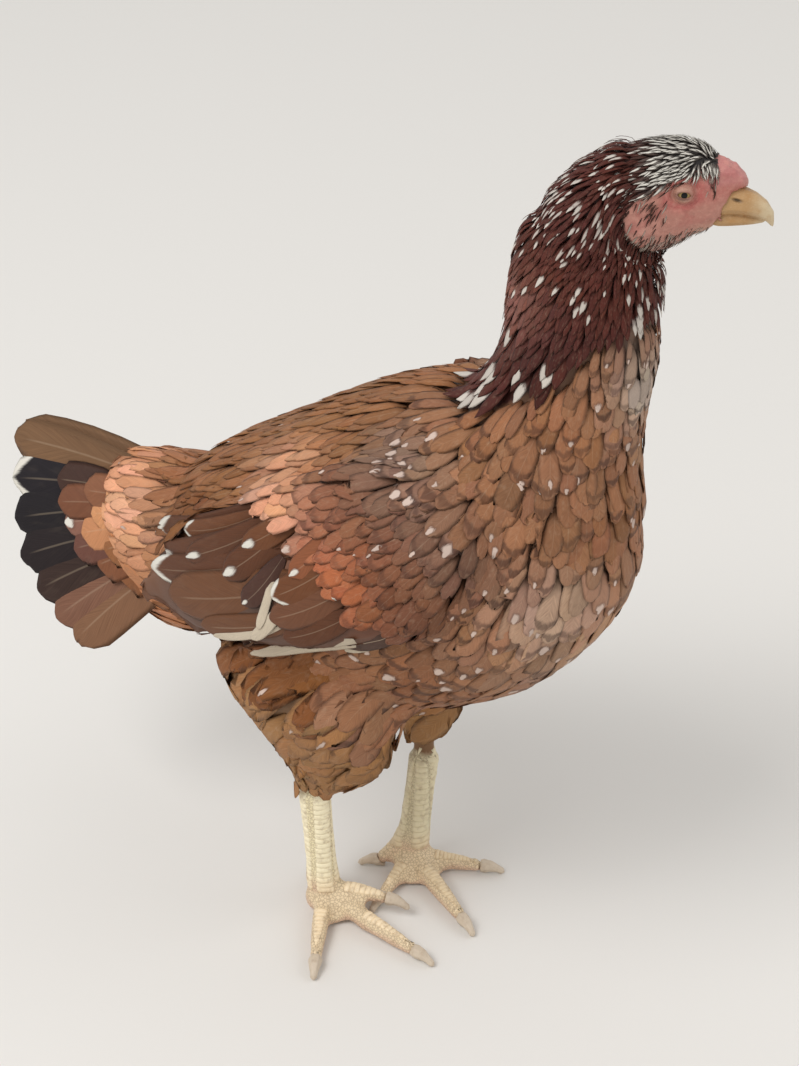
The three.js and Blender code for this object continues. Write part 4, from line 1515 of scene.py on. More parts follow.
@dataclass
class TailFan:
    """The stiff tail feathers, folded like a roof from the ridge down."""

    count: int = 7
    root: Place = (1.147, 0.5, 0.691)
    spread: float = 12.0
    lengths: tuple[float, float, float] = (125.0, 118.0, 94.0)
    rise: tuple[float, float] = (2.0, -46.0)
    flare: tuple[float, float] = (2.0, 24.0)
    half: float = 16.5
    arch: float = 5.0
    tones: tuple[Colour, ...] = (srgb("785a41"), srgb("252125"), srgb("231f22"), srgb("282122"),
                                 srgb("3a2b26"), srgb("7c5745"), srgb("805c44"))
    spots: tuple[float, ...] = (0.0, -0.15, 0.0, 0.0, 0.0, 0.0, 0.0)
    covers: tuple[tuple[float, float, float, float, Colour, float], ...] = (
        (0.95, 0.40, 0.74, 11, srgb("46312a"), 0.0), (5.3, 0.30, 0.54, 14, srgb("865739"), 0.0),
        (2.35, 0.40, 0.71, 9.5, srgb("8a6152"), 0.35), (4.2, 0.32, 0.61, 13, srgb("805239"), 0.0),
        (3.3, 0.36, 0.69, 11.5, srgb("6c473c"), 0.0), (1.65, 0.38, 0.73, 10, srgb("784d38"), 0.0),
        (2.8, 0.30, 0.62, 12, srgb("c2875f"), 0.0), (3.7, 0.26, 0.53, 12, srgb("94623f"), 0.0),
        (2.1, 0.24, 0.55, 11, srgb("d09468"), 0.0), (1.2, 0.24, 0.58, 10.5, srgb("8a5c43"), 0.0))

    def line(self, number: float, side: float) -> tuple[np.ndarray, np.ndarray]:
        """The root and the tip of a feather, from 0 at the ridge.

        Args:
            number: the feather's place in the fan.
            side: -1 for the right half and 1 for the left.

        Returns:
            Two points in metres.
        """
        share = number / (self.count - 1)
        root = spot("tail_fan", self.root) + np.array((0, 0, (1 - 2 * share) * self.spread * MM))
        length = float(np.interp(share, (0, 0.5, 1), self.lengths)) * MM
        rise = math.radians(self.rise[0] + (self.rise[1] - self.rise[0]) * share)
        flare = math.radians(self.flare[0] + (self.flare[1] - self.flare[0]) * share)
        fore = math.cos(flare)
        way = np.array((-math.cos(rise) * fore, math.sin(flare) * side, math.sin(rise) * fore))
        out = np.array((0, (1.0 + 0.8 * number) * side * MM, 0))
        return root + out, root + way * length + out

    def grow(self, coat: Coat, rng: np.random.Generator) -> None:
        """Lays both halves of the fan, and the long coverts over its roots."""
        for side in (-1.0, 1.0):
            for number in range(self.count):
                feather = (number, 0.0, 1.0, self.half, self.tones[number], self.spots[number])
                self.lay(coat, rng, side, feather, 0.0)
            for layer, feather in enumerate(self.covers):
                self.lay(coat, rng, side, feather, 2.4 + 0.35 * layer)

    def lay(self, coat: Coat, rng: np.random.Generator, side: float,
            feather: tuple[float, float, float, float, Colour, float], lift: float) -> None:
        """Lays one feather along a line of the fan.

        Args:
            coat: the piece that gets it.
            rng: the source of small differences.
            side: the half of the fan, -1 or 1.
            feather: its line, where it starts and ends along that, its half-width, tone and spot.
            lift: how far it stands out from the fan, in millimetres.
        """
        number, start, end, half, tone, mark = feather
        root, tip = self.line(number, side)
        across = unit(self.line(number - 0.3, side)[1] - self.line(number + 0.3, side)[1])
        share = (start + (end - start) * np.array(QUILL.rows))[:, None]
        centre = root + (tip - root) * share
        centre[:, 2] += 4 * (share * (1 - share))[:, 0] * self.arch * MM
        normal = unit(np.cross(tip - root, across)) * side
        normal = np.broadcast_to(normal * (1 if normal[1] * side > 0 else -1), centre.shape)
        coat.add_quill(centre + normal * lift * MM, normal, half, tone, (mark, 0.0, 0.25), rng, 2.0)


# ---------------------------------------------------------------- feet, bill, claws and eyes
@dataclass
class Scutes:
    """The hard plates down the shanks and over the toes."""

    pitch: float = 3.5
    bulge: float = 0.55
    thick: float = 0.5
    across: int = 9
    along: int = 5
    widest: float = 14.0
    toe_plates: dict[str, int] = field(
        default_factory=lambda: {"inner": 9, "middle": 15, "outer": 13, "hind": 4})

    def plate(self, surface: Surface, middle: np.ndarray, down: np.ndarray, angles: tuple[float, float],
              front: np.ndarray, length: float, reach: float) -> tuple[np.ndarray, np.ndarray]:
        """One plate wrapped round a limb.

        Args:
            surface: the skin.
            middle: a point on the limb's axis at the plate's upper edge.
            down: the direction of the axis.
            angles: where the plate starts and ends round the axis from the front, in degrees.
            front: the direction of the front.
            length: the plate's size along the axis, in metres.
            reach: how far out the rays start, in metres.

        Returns:
            Its vertices and faces.
        """
        side = np.cross(down, front)
        turn = np.radians(np.linspace(*angles, self.across))
        share = np.linspace(0, 1, self.along)
        ray = np.cos(turn)[:, None] * front + np.sin(turn)[:, None] * side
        edge = np.abs(np.linspace(-1, 1, self.across)) ** 6
        axis = middle + down * ((share[:, None, None] * (1.06 - 0.3 * edge[None, :, None])
                                 + 0.15 * edge[None, :, None]) * length)
        ways = np.broadcast_to(ray[None], (self.along, self.across, 3)).reshape(-1, 3)
        start = (axis + ray[None] * reach).reshape(-1, 3)
        met, _, _ = surface.cast(start, -ways)
        dome = (0.25 + 0.75 * np.sin(math.pi * (0.08 + 0.72 * share)))[:, None] * (1 - edge)[None, :]
        height = dome * self.bulge * MM
        height[0] *= 0.3
        top = met.reshape(self.along, self.across, 3) + ray[None] * (height + 0.02 * MM)[..., None]
        under = met.reshape(self.along, self.across, 3) - ray[None] * self.thick * MM
        points = np.concatenate([top.reshape(-1, 3), under.reshape(-1, 3)])
        return points, shell_faces(self.along, self.across)

    def build(self, skin: bpy.types.Object) -> bpy.types.Object:
        """Makes all plates of both feet as one piece.

        Args:
            skin: the skin that the plates lie on.

        Returns:
            All of the plates as one mesh.
        """
        surface = Surface(skin)
        parts = []
        mounts = {m["name"]: np.array(m["pos_m"]) for m in frame["record"]["mounts"]}
        for side in SIDES:
            sole = mounts[f"{side}_sole"]
            parts += self.shank(surface, side)
            for toe, plates in self.toe_plates.items():
                parts += self.toe(surface, side, toe, plates, sole)
        parts = [part for part in parts if np.linalg.norm(np.ptp(part[0], axis=0)) < self.widest * MM]
        return mesh_from("scutes", *stacked(parts))

    def shank(self, surface: Surface, side: str) -> list[Mesh]:
        """Two staggered columns down the front of a shank, and small ones down its back.

        Args:
            surface: the skin.
            side: the side of the bird.

        Returns:
            The vertices and faces of each plate.
        """
        low, high = corners(f"shank_{side}")
        top = np.array(((low[0] + high[0]) / 2, (low[1] + high[1]) / 2, high[2] + 3 * MM))
        foot = np.array((top[0], top[1], low[2] + 1 * MM))
        down = unit(foot - top)
        count = int(np.linalg.norm(foot - top) / (self.pitch * MM))
        front = unit(np.array((1.0, 0.0, 0.0)) - down * down[0])
        parts = []
        for angles, shift in (((4, 74), 0.0), ((-74, -4), 0.5), ((100, 140), 0.3), ((-140, -100), 0.7)):
            for row in range(count):
                at = top + down * ((row + shift) * self.pitch * MM)
                parts.append(self.plate(surface, at, down, angles, front, self.pitch * MM, 22 * MM))
        return parts

    def toe(self, surface: Surface, side: str, toe: str, count: int, sole: np.ndarray) -> list[Mesh]:
        """Plates over the top of one toe, from its root to its claw.

        Args:
            surface: the skin.
            side: the side of the bird.
            toe: the toe's name.
            count: how many plates it has.
            sole: the place where the toes meet.

        Returns:
            The vertices and faces of each plate.
        """
        claw = sum(corners(f"claw_{toe}_{side}")) / 2
        reach = np.linalg.norm((claw - sole)[:2])
        way = unit((claw - sole) * (1, 1, 0))
        first, last, lean, fall = (0.5, 0.85, 55, 0.2) if toe == "hind" else (0.30, 0.93, 62, 0.0)
        level = sum(corners(f"toe_{toe}_{side}"))[2] / 2
        parts = []
        length = reach * (last - first) / count
        for row in range(count):
            at = sole + way * reach * first + way * length * row
            at[2] = level - fall * row * length
            parts.append(self.plate(surface, at, way, (-lean, lean), np.array((0, 0, 1.0)), length, 16 * MM))
        return parts


def shell_faces(rows: int, columns: int) -> np.ndarray:
    """Faces of a closed plate: a grid on top, the same grid below it, and walls round the edge.

    Args:
        rows: how many rows of vertices the plate has.
        columns: how many it has in a row.

    Returns:
        Four vertex numbers for each face.
    """
    top = sheet_faces(rows, columns)
    size = rows * columns
    rim = ([(0, c) for c in range(columns)] + [(r, columns - 1) for r in range(1, rows)]
           + [(rows - 1, c) for c in range(columns - 2, -1, -1)] + [(r, 0) for r in range(rows - 2, 0, -1)])
    ring = [r * columns + c for r, c in rim]
    walls = [(b, a, a + size, b + size) for a, b in zip(ring, ring[1:] + ring[:1])]
    return np.concatenate([top, top[:, ::-1] + size, np.array(walls)])


@dataclass
class Horn:
    """A hard piece cut from the solids: evened out, with its own colours by place."""

    name: str
    nodes: list[str]
    voxel: float
    rounds: int
    swell: float = 0.0

    def build(self) -> bpy.types.Object:
        """Copies, swells and smooths the solids; each keeps its own shell."""
        horn = merged_copy(self.nodes, self.name)
        remeshed(horn, self.swell * MM, self.voxel * MM)
        relax(horn, self.rounds)
        move_to(horn, np.maximum(points_of(horn), (-9, -9, 0.2 * MM)))
        shade_smooth(horn)
        return horn


class Bill(Horn):
    """Both halves of the bill, with the nostril darkened as painted shade, and the tone from its root to its
    pale tip.
    """

    def build(self) -> bpy.types.Object:
        """Adds the nostrils and the tones to the smoothed bill."""
        bill = super().build()
        points, normals = points_of(bill), normals_of(bill)
        x, y, z = HEAD.local(points).T
        slit = np.exp(-(((x - 23.5) / 2.3) ** 2 + ((z + 3.2 + 0.25 * (x - 23.5)) / 0.8) ** 2) ** 1.5)
        slit = slit * smooth(np.abs(y), 2.0, 3.0)
        move_to(bill, points - normals * (slit * 1.2 * MM)[:, None])
        toward = smooth(x, 27, 39)[:, None]
        crest = (smooth(-np.abs(y), -2.4, -0.4) * smooth(z, -9, -4))[:, None] * (1 - toward)
        tone = blend(blend(srgb("b18a5c"), srgb("cdb996"), toward), srgb("9c7a5a"), 0.6 * crest)
        # Painted shade: the nostril slit is darkened to stand for its opening.
        put_attribute(bill, "tone", tone * (1 - slit[:, None] * 0.85))
        return bill


@dataclass
class Eyeball:
    """One eyeball, with its iris and pupil told apart by how far a point is from the axis."""

    side: str

    def build(self) -> bpy.types.Object:
        """Adds a ball at its place and measures it from its axis."""
        lids = EyeLids(SIDES[self.side])
        deselect()
        turn = Vector(lids.frame()[2]).to_track_quat("Z", "Y").to_euler()
        bpy.ops.mesh.primitive_uv_sphere_add(segments=64, ring_count=60, radius=lids.ball * MM,
                                             location=tuple(lids.centre()), rotation=turn)
        ball = bpy.context.view_layer.objects.active
        ball.name = ball.data.name = f"eyeball_{self.side}"
        bpy.ops.object.transform_apply(location=True, rotation=True, scale=True)
        shade_smooth(ball)
        flat, level = lids.flat(points_of(ball))
        put_attribute(ball, "gaze", np.where(level > 0, np.linalg.norm(flat, axis=1), lids.ball))
        return ball


# ---------------------------------------------------------------- shader maths
class Value:
    """One number in a material; Python's operators add Math nodes."""

    def __init__(self, tree: "Tree", socket: Any) -> None:
        """Wraps a socket of the tree."""
        self.tree, self.socket = tree, socket

    def __add__(self, other: Any) -> "Value":
        """self + other."""
        return self.tree.math("ADD", self, other)

    def __sub__(self, other: Any) -> "Value":
        """self - other."""
        return self.tree.math("SUBTRACT", self, other)

    def __rsub__(self, other: Any) -> "Value":
        """other - self."""
        return self.tree.math("SUBTRACT", other, self)

    def __mul__(self, other: Any) -> "Value":
        """self * other."""
        return self.tree.math("MULTIPLY", self, other)

    def __truediv__(self, other: Any) -> "Value":
        """self / other."""
        return self.tree.math("DIVIDE", self, other)

    __radd__, __rmul__ = __add__, __mul__


class Tree:
    """The nodes of one material."""

    def __init__(self, name: str) -> None:
        """Starts a material with only its output."""
        self.material = bpy.data.materials.new(name)
        self.material.use_nodes = True
        self.nodes, self.links = self.material.node_tree.nodes, self.material.node_tree.links
        self.nodes.clear()
        self.out = self.node("ShaderNodeOutputMaterial")

    def node(self, kind: str, settings: dict[str, Any] | None = None, **values: Any) -> Any:
        """Adds a node.

        Args:
            kind: the node's type.
            settings: its properties, set before its sockets.
            **values: a number, colour or link for each socket, with _ for a space in its name.

        Returns:
            The node.
        """
        made = self.nodes.new(kind)
        for key, value in (settings or {}).items():
            setattr(made, key, value)
        for key, value in values.items():
            place = int(key[1:]) if key[0] == "i" and key[1:].isdigit() else key.replace("_", " ")
            self.set(made.inputs[place], value)
        return made

    def set(self, socket: Any, value: Any) -> None:
        """Links a socket, or gives it a constant.

        Args:
            socket: the socket.
            value: a link, a number or a colour.
        """
        if isinstance(value, Value):
            self.links.new(value.socket, socket)
        elif isinstance(value, bpy.types.NodeSocket):
            self.links.new(value, socket)
        elif isinstance(value, tuple) and len(value) == 3 and socket.type == "RGBA":
            socket.default_value = (*value, 1.0)
        else:
            socket.default_value = value

    def math(self, operation: str, *values: Any) -> Value:
        """Adds a Math node."""
        made = self.node("ShaderNodeMath", {"operation": operation})
        for place, value in enumerate(values):
            self.set(made.inputs[place], value)
        return Value(self, made.outputs[0])

    def step(self, value: Value, low: float, high: float) -> Value:
        """A smooth step of a value from 0 at low to 1 at high."""
        made = self.node("ShaderNodeMapRange", {"interpolation_type": "SMOOTHSTEP"}, Value=value,
                         From_Min=low, From_Max=high)
        return Value(self, made.outputs[0])

    def mix(self, factor: Any, first: Any, second: Any, kind: str = "MIX") -> Any:
        """Mixes two colours."""
        made = self.node("ShaderNodeMix", {"data_type": "RGBA", "blend_type": kind})
        for place, value in ((0, factor), (6, first), (7, second)):
            self.set(made.inputs[place], value)
        return made.outputs[2]

    def vector(self, operation: str, first: Any, second: Any) -> Any:
        """Adds a Vector Math node."""
        made = self.node("ShaderNodeVectorMath", {"operation": operation})
        self.set(made.inputs[0], first)
        self.set(made.inputs[3 if operation == "SCALE" else 1], second)
        return made.outputs[0]

    def attribute(self, name: str) -> Any:
        """Reads a vertex attribute."""
        return self.node("ShaderNodeAttribute", {"attribute_name": name})

    def number(self, name: str) -> Value:
        """Reads a vertex attribute as a number."""
        return Value(self, self.attribute(name).outputs["Fac"])

    def parts(self, vector: Any) -> tuple[Value, Value, Value]:
        """The three numbers of a vector."""
        made = self.node("ShaderNodeSeparateXYZ", Vector=vector)
        return tuple(Value(self, socket) for socket in made.outputs)

    def noise(self, vector: Any, scale: float, detail: float = 2.0, rough: float = 0.5) -> Value:
        """Noise around 0.5."""
        made = self.node("ShaderNodeTexNoise", Vector=vector, Scale=scale, Detail=detail, Roughness=rough)
        return Value(self, made.outputs[0])

    def cells(self, vector: Any, scale: float, feature: str = "F1") -> Value:
        """How far each place is from the middle or the edge of its cell."""
        made = self.node("ShaderNodeTexVoronoi", {"feature": feature}, Vector=vector, Scale=scale)
        return Value(self, made.outputs["Distance"])

    def place(self) -> Any:
        """The piece's own coordinates, in metres."""
        return self.node("ShaderNodeTexCoord").outputs["Object"]

    def shade(self, colour: Any, roughness: Any, normal: Any = None, **constants: Any) -> bpy.types.Material:
        """Ends the material in one Principled shader."""
        shader = self.node("ShaderNodeBsdfPrincipled", Base_Color=colour, Roughness=roughness, **constants)
        if normal is not None:
            self.set(shader.inputs["Normal"], normal)
        self.links.new(shader.outputs[0], self.out.inputs[0])
        return self.material

    def bump(self, height: Any, strength: float, distance: float) -> Any:
        """Turns a height into a normal."""
        made = self.node("ShaderNodeBump", Height=height, Strength=strength, Distance=distance)
        return made.outputs[0]


# Each feather gets painted shade towards its root, and painted shade and painted highlights along its strands
# and barbs.
@dataclass(frozen=True)
class FeatherFinish:
    """Barbs, shaft, scallop, streak and tip spot over the feather's own colour, with painted shade and
    highlight.

    A spot above zero is a drop at the tip, and one below zero a crescent along the tip's edge.
    """

    name: str
    barbs: float
    roughness: float = 0.62
    cloud: float = 0.1
    dark: Colour = srgb("32201f")
    pale: Colour = srgb("d9c3a6")
    # Painted shade, multiplied in towards the root and along the strands and barbs; painted highlight along
    # the strands.
    shade: Colour = (0.5, 0.46, 0.45)
    painted_highlight: Colour = (1.4, 1.35, 1.28)

    def material(self) -> bpy.types.Material:
        """Builds the finish."""
        tree = Tree(self.name)
        vane = tree.node("ShaderNodeUVMap", {"uv_map": "Vane"}).outputs[0]
        u, v, _ = tree.parts(vane)
        seed = tree.number("seed")
        side = tree.math("ABSOLUTE", u - 0.5) * 2
        shifted = tree.vector("ADD", tree.vector("MULTIPLY", vane, (5.0, 7.0, 0.0)),
                              tree.node("ShaderNodeCombineXYZ", Z=seed * 31).outputs[0])
        wobble = tree.noise(shifted, 1.0, 2.0) - 0.5
        spot_size, scallop, shaft = tree.parts(tree.attribute("pattern").outputs["Vector"])
        barb = tree.math("SINE", (v * 1.0 - side * 0.32 + wobble * 0.06) * self.barbs)
        mark = tree.attribute("mark").outputs["Color"]
        colour = tree.attribute("tone").outputs["Color"]
        # Painted shade towards the root, where neighbouring feathers cover it.
        colour = tree.mix(tree.step(v, 0.42, 0.12) * 0.3, colour, self.shade, "MULTIPLY")
        slant = tree.node("ShaderNodeCombineXYZ", X=(v - side * 0.32) * self.barbs * 0.22, Y=side * 1.5,
                          Z=seed * 53).outputs[0]
        # Along the strands: painted shade and painted highlight; across the barbs: painted shade.
        strand = tree.noise(slant, 1.0, 3.0, 0.6)
        colour = tree.mix(tree.step(strand, 0.45, 0.75) * 0.5, colour, self.shade, "MULTIPLY")
        colour = tree.mix(tree.step(strand, 0.5, 0.25) * 0.5, colour, self.painted_highlight, "MULTIPLY")
        colour = tree.mix((barb * 0.5 + 0.5) * 0.12, colour, self.shade, "MULTIPLY")
        colour = tree.mix(tree.step(wobble, 0.0, 0.3) * self.cloud, colour, self.pale)
        arch = v + side * side * 0.1 + wobble * 0.16
        band = tree.step(arch, 0.76, 0.86) * (1 - tree.step(arch, 0.93, 1.0) * 0.8)
        colour = tree.mix(band * scallop * 0.8, colour, self.dark)
        line = tree.step(side, 0.05, 0.015) * tree.step(v, 0.97, 0.85)
        colour = tree.mix(line * shaft * 0.5, colour, self.pale)
        streak = tree.step(side + wobble * 0.5, 0.85, 0.3) * tree.step(v + wobble * 0.3, 0.3, 0.55)
        colour = tree.mix(streak * tree.number("streak"), colour, mark)
        across = side / (spot_size * 1.05 + 0.02)
        along = (v - (1.0 - spot_size * 0.14)) / (spot_size * 0.26 + 0.01)
        ring = tree.math("SQRT", across * across + along * along) + wobble * 0.7 + (strand - 0.5) * 1.1
        drop = tree.step(spot_size, 0.05, 0.12)
        colour = tree.mix(tree.step(ring, 1.7, 1.0) * drop * 0.4, colour, self.dark)
        spot_mask = tree.step(ring, 1.25, 0.7) * drop
        crescent = v + side * side * 0.13 + wobble * 0.05 + (strand - 0.5) * 0.05 + spot_size * -0.12
        crescent = tree.step(crescent, 0.985, 1.03)
        crescent = crescent * tree.step(spot_size, -0.05, -0.12)
        colour = tree.mix(tree.math("MAXIMUM", spot_mask, crescent), colour, mark)
        height = barb * 0.35 + tree.step(side, 0.1, 0.0) * 0.7
        return tree.shade(colour, self.roughness, tree.bump(height, 0.3, 0.0003),
                          Specular_IOR_Level=0.13, Sheen_Weight=0.02)


@dataclass(frozen=True)
class SkinFinish:
    """Bare skin: fine papillae and mottling on the face, a net of small scales on the feet."""

    name: str = "hen_skin"

    def material(self) -> bpy.types.Material:
        """Builds the finish."""
        tree = Tree(self.name)
        place = tree.place()
        scaly = tree.number("scaly")
        face = tree.number("face")
        mottle = tree.noise(place, 420.0, 4.0, 0.6)
        broad = tree.noise(place, 130.0, 2.0)
        colour = tree.attribute("tone").outputs["Color"]
        colour = tree.mix(tree.step(mottle, 0.42, 0.7) * face * 0.35, colour, srgb("d29a8a"))
        colour = tree.mix(tree.step(broad, 0.48, 0.72) * face * 0.4, colour, srgb("96423f"))
        grain = tree.cells(place, 1500.0)
        net = tree.step(tree.cells(place, 620.0, "DISTANCE_TO_EDGE"), 0.0, 0.16)
        colour = tree.mix((1 - net) * scaly * 0.45, colour, srgb("7d5f43"))
        height = (1 - grain) * face * 0.5 + net * scaly * 0.8 + mottle * 0.35
        return tree.shade(colour, 0.5 - face * 0.06, tree.bump(height, 0.5, 0.0005), Specular_IOR_Level=0.4)


@dataclass(frozen=True)
class HornFinish:
    """Bill, claws and scutes: smooth horn with fine lines along it and worn, cloudy colour."""

    name: str
    tone_from_mesh: bool
    colour: Colour = srgb("bda793")
    stain: Colour = srgb("8a6a4a")
    roughness: float = 0.38
    cloud: float = 260.0

    def material(self) -> bpy.types.Material:
        """Builds the finish."""
        tree = Tree(self.name)
        place = tree.place()
        colour = tree.attribute("tone").outputs["Color"] if self.tone_from_mesh else self.colour
        cloud = tree.noise(place, self.cloud, 4.0, 0.6)
        fine = tree.noise(tree.vector("MULTIPLY", place, (1.0, 1.0, 3.0)), 1100.0, 3.0)
        colour = tree.mix(tree.step(cloud, 0.45, 0.75) * 0.45, colour, self.stain)
        colour = tree.mix(tree.step(fine, 0.5, 0.8) * 0.2, colour, srgb("efe2c4"))
        return tree.shade(colour, cloud * 0.2 + self.roughness, tree.bump(fine, 0.25, 0.0003),
                          Specular_IOR_Level=0.45)


@dataclass(frozen=True)
class EyeFinish:
    """A wet eyeball: dark pupil, pale ochre iris with fine rays, darker rim."""

    name: str = "hen_eye"

    def material(self) -> bpy.types.Material:
        """Builds the finish."""
        tree = Tree(self.name)
        far = tree.number("gaze")
        rays = tree.noise(tree.place(), 2600.0, 2.0)
        iris = tree.mix(rays, srgb("84683a"), srgb("b39a62"))
        colour = tree.mix(tree.step(far, 1.3, 1.55), (0.003, 0.003, 0.003), iris)
        colour = tree.mix(tree.step(far, 2.7, 3.3), colour, srgb("3a2a20"))
        return tree.shade(colour, 0.15, None, Coat_Weight=0.3, Coat_Roughness=0.03, Specular_IOR_Level=0.1)


# ---------------------------------------------------------------- dressing the skin
FACE_TONES = {
    "face": srgb("b27a6c"), "ring": srgb("b4605a"), "lid": srgb("ac8270"), "comb": srgb("b97873"),
    "lobe": srgb("c08a7c"), "ear": srgb("7c5446"), "throat": srgb("a2786a"), "chin": srgb("b48c72"),
    "rim": srgb("5c3a30"),
}
# The near shank is painted as in light, the far shank as in painted shade.
LEG_TONES = {"shank": srgb("f0e2ba"), "far_shank_shade": srgb("d6caa8"), "toe": srgb("e6d0ac"), "pink": srgb("dcb09c")}


def paint_skin(skin: bpy.types.Object) -> None:
    """Gives the skin its colours: face, comb, lids and legs, with painted light on the near leg and painted
    shade on the far one, and the plumage's ground tone elsewhere.

    Args:
        skin: the finished skin.
    """
    points = points_of(skin)
    tracts = tracts_at(Anatomy(FLESH).node_at(points), points)
    tone = np.zeros((len(points), 3))
    for tract in Tract:
        tone[tracts == tract] = PLUMAGE.tone(tract, points[tracts == tract]) * 0.55
    x, _, z = HEAD.local(points).T
    bare = smooth(bare_face(points), -1.2, 0.8)[:, None]
    face = np.broadcast_to(np.array(FACE_TONES["face"]), tone.shape).copy()

    def dab(key: str, share: np.ndarray) -> None:
        """Lays one of the face's colours over the others."""
        face[:] = blend(face, FACE_TONES[key], share[:, None])

    eye = np.hypot(x, (z - HEAD.eye_up) * 1.1)
    dab("throat", smooth(-z, 16, 27) * 0.8)
    dab("chin", smooth(-z, 12, 18) * smooth(x, 2, 9) * 0.6)
    dab("lobe", mound(x, z, (-17, -15), (5, 7)))
    dab("ring", np.exp(-((eye - 7.2) / 2.4) ** 2) * 0.8)
    dab("ring", smooth(x, 2, 7) * smooth(z, -5, 1) * 0.45)
    dab("lid", smooth(-eye, -6.4, -3.4))
    dab("rim", smooth(-np.hypot(x / 2.9, (z - HEAD.eye_up) / 1.5), -1.7, -1.1) * 0.7)
    dab("comb", smooth(x, 8.5, 11.5) * smooth(z, 2.5, 6.5))
    dab("ear", mound(x, z, EAR, (2.3, 3.2)) * 0.85)
    scaly = smooth(bare_leg(points), -9, -6)
    # Painted light and shade: the near (right) shank is paler, the far (left) one darker.
    leg = np.where((points[:, 1] < 0)[:, None], LEG_TONES["shank"], LEG_TONES["far_shank_shade"])
    low = smooth(points[:, 2], 32 * MM, 14 * MM)[:, None]
    side = smooth(normals_of(skin)[:, 2], 0.5, -0.2)[:, None] * low
    leg = blend(blend(leg, LEG_TONES["toe"], low), LEG_TONES["pink"], 0.5 * side)
    put_attribute(skin, "tone", blend(blend(tone, face, bare), leg, scaly[:, None]))
    put_attribute(skin, "face", bare[:, 0])
    put_attribute(skin, "scaly", scaly)


def paint_scutes(scutes: bpy.types.Object) -> None:
    """Gives the plates the legs' colours, ochre on the toes, with painted light on the near leg and painted
    shade on the far one.
    """
    points = points_of(scutes)
    low = smooth(points[:, 2], 34 * MM, 14 * MM)[:, None]
    # Painted light on the near (right) shank and toes, painted shade on the far (left) ones.
    shank = np.where((points[:, 1] < 0)[:, None], srgb("f8ecca"), srgb("e0d4b2"))
    toe = np.where((points[:, 1] < 0)[:, None], srgb("f4deba"), srgb("e2cca8"))
    put_attribute(scutes, "tone", blend(shank, toe, low))


# ---------------------------------------------------------------- stage
@dataclass
class Stage:
    """A pale floor, soft light from above and the camera."""

    azimuth: float = 32.0
    elevation: float = 33.0
    distance: float = 1.25
    lens: float = 81.05
    aim: Place = (0.022, 0.0278, -0.0209)

    def build(self, low: Vector, high: Vector) -> None:
        """Puts up the floor, the lights and the camera round the object's box.

        Args:
            low: the lowest corner of the object's box.
            high: its highest corner.
        """
        self.floor()
        self.lights()
        target = (low + high) / 2 + Vector(self.aim)
        a, e = math.radians(self.azimuth), math.radians(self.elevation)
        back = Vector((math.sin(a) * math.cos(e), -math.cos(a) * math.cos(e), math.sin(e)))
        deselect()
        bpy.ops.object.camera_add(location=target + back * self.distance,
                                  rotation=back.to_track_quat("Z", "Y").to_euler())
        camera = bpy.context.view_layer.objects.active
        camera.data.lens = self.lens
        camera.data.clip_start, camera.data.clip_end = 0.05, 50
        bpy.context.scene.camera = camera

    def floor(self) -> None:
        """A wide plain floor."""
        deselect()
        bpy.ops.mesh.primitive_plane_add(size=40, location=(0, 0, 0))
        floor = bpy.context.view_layer.objects.active
        floor.name = "floor"
        tree = Tree("floor_paint")
        floor.data.materials.append(tree.shade(srgb("e4e1dc"), 0.9, Specular_IOR_Level=0.1))
        floor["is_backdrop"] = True

    def lights(self) -> None:
        """An even pale sky, a large soft key lamp from above and a fill from the other side."""
        world = bpy.data.worlds.new("studio")
        world.use_nodes = True
        background = world.node_tree.nodes["Background"]
        background.inputs["Color"].default_value = (1, 1, 1, 1)
        background.inputs["Strength"].default_value = 0.72
        bpy.context.scene.world = world
        lamps = (("key", (-0.5, -1.6, 2.4), 1.4, 38), ("fill", (1.8, 1.2, 1.6), 1.6, 7))
        for name, place, size, power in lamps:
            deselect()
            bpy.ops.object.light_add(type="AREA", location=place)
            lamp = bpy.context.view_layer.objects.active
            lamp.name = name
            lamp.data.size = size
            lamp.data.energy = power
            lamp.rotation_euler = (Vector(place) - Vector((0, 0, 0.2))).to_track_quat("Z", "Y").to_euler()


# ---------------------------------------------------------------- the whole bird
def finish_piece(obj: bpy.types.Object, material: bpy.types.Material,
                 nodes: Sequence[str] = ()) -> None:
    """Gives a piece its material, makes it ride on the bird and hides the solids that it stands for.

    Args:
        obj: the piece.
        material: its finish.
        nodes: the solids that it stands for.
    """
    obj.data.materials.clear()
    obj.data.materials.append(material)
    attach(obj, "root")
    if nodes:
        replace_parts(obj, *nodes)
    LOG.info("%s: %d faces", obj.name, len(obj.data.polygons))


def unwrap_skin(skin: bpy.types.Object) -> None:
    """Unwraps the skin along its own folds, for the map that the plumage's patches are placed by."""
    skin.data.uv_layers.new(name="OFBake")
    with editing(skin):
        bpy.ops.uv.smart_project(angle_limit=math.radians(66), island_margin=0.002)


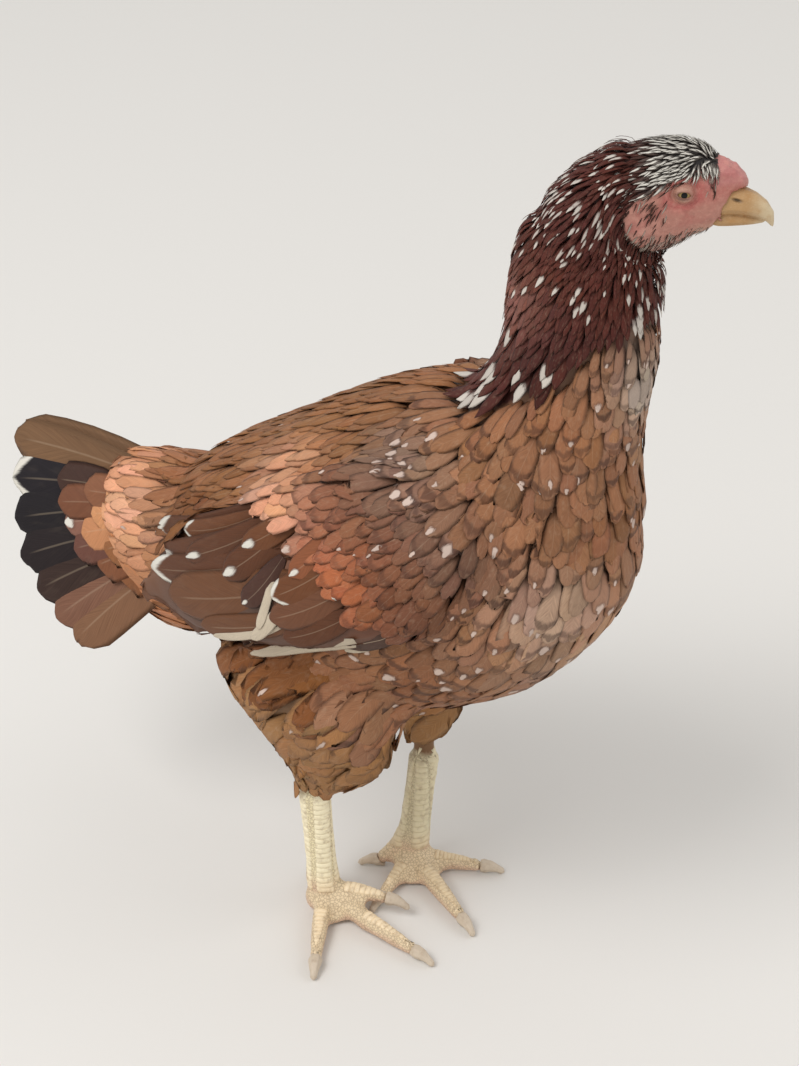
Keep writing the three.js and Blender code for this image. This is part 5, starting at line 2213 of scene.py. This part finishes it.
def plumage(body: Body) -> None:
    """Grows every tract, each as pieces of its own.

    Args:
        body: the ground to grow it on.
    """
    soft = FeatherFinish("hen_feathers", 230.0).material()
    stiff = FeatherFinish("hen_quills", 520.0, 0.5, 0.02).material()
    jobs = [("crown", Tract.CROWN, "hackle"), ("hackle", Tract.HACKLE, "hackle"),
            ("breast", Tract.BREAST, "body_feathers"), ("back", Tract.BACK, "body_feathers"),
            ("belly", Tract.BELLY, "body_feathers"), ("wing_coverts", Tract.WING, "wing_feathers"),
            ("thigh_feathers", Tract.THIGH, "body_feathers"),
            ("tail_covert_feathers", Tract.TAIL, "body_feathers"), ("face_bristles", Tract.FACE, "hackle")]
    for number, (name, tract, slot) in enumerate(jobs):
        coat = Coat(name, body.unwrap)
        body.grow(coat, tract, np.random.default_rng(SEED + number), LIMITS.get(tract))
        coat.finish(soft)
    for side in SIDES:
        coat = Coat(f"wing_quills_{side}", body.unwrap)
        Wing(side).grow(body, coat, np.random.default_rng(SEED + 40))
        coat.finish(stiff)
    tail = Coat("tail_quills", body.unwrap)
    TailFan().grow(tail, np.random.default_rng(SEED + 60))
    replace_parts(tail.finish(stiff), "tail_fan")


def main() -> None:
    """Builds the bird and its stage."""
    logging.basicConfig(level=logging.INFO, format="%(name)s %(relativeCreated)d ms %(message)s")
    bpy.context.scene.view_settings.view_transform = "Standard"
    low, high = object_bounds()
    Stage().build(low, high)
    skin = Skin().build()
    LOG.info("skin shaped: %d faces", len(skin.data.polygons))
    unwrap_skin(skin)
    LOG.info("skin unwrapped")
    paint_skin(skin)
    finish_piece(skin, SkinFinish().material(), FLESH)
    plumage(Body(skin))
    scutes = Scutes().build(skin)
    paint_scutes(scutes)
    finish_piece(scutes, HornFinish("hen_scutes", True, roughness=0.42).material())
    bill = Bill("bill", ["beak_upper", "beak_lower"], 0.5, 5, 0.35).build()
    finish_piece(bill, HornFinish("hen_bill", True, stain=srgb("a8763f")).material(),
                 ["beak_upper", "beak_lower"])
    claws = [f"claw_{toe}_{side}" for side in SIDES for toe in TOE_NAMES]
    horn = HornFinish("hen_claws", False, srgb("cbbba6"), srgb("a58d72")).material()
    finish_piece(Horn("claws", claws, 0.5, 9, 1.1).build(), horn, claws)
    eye = EyeFinish().material()
    for side in SIDES:
        finish_piece(Eyeball(side).build(), eye, [f"eye_{side}"])
    low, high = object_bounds()


if __name__ == "__main__":
    main()
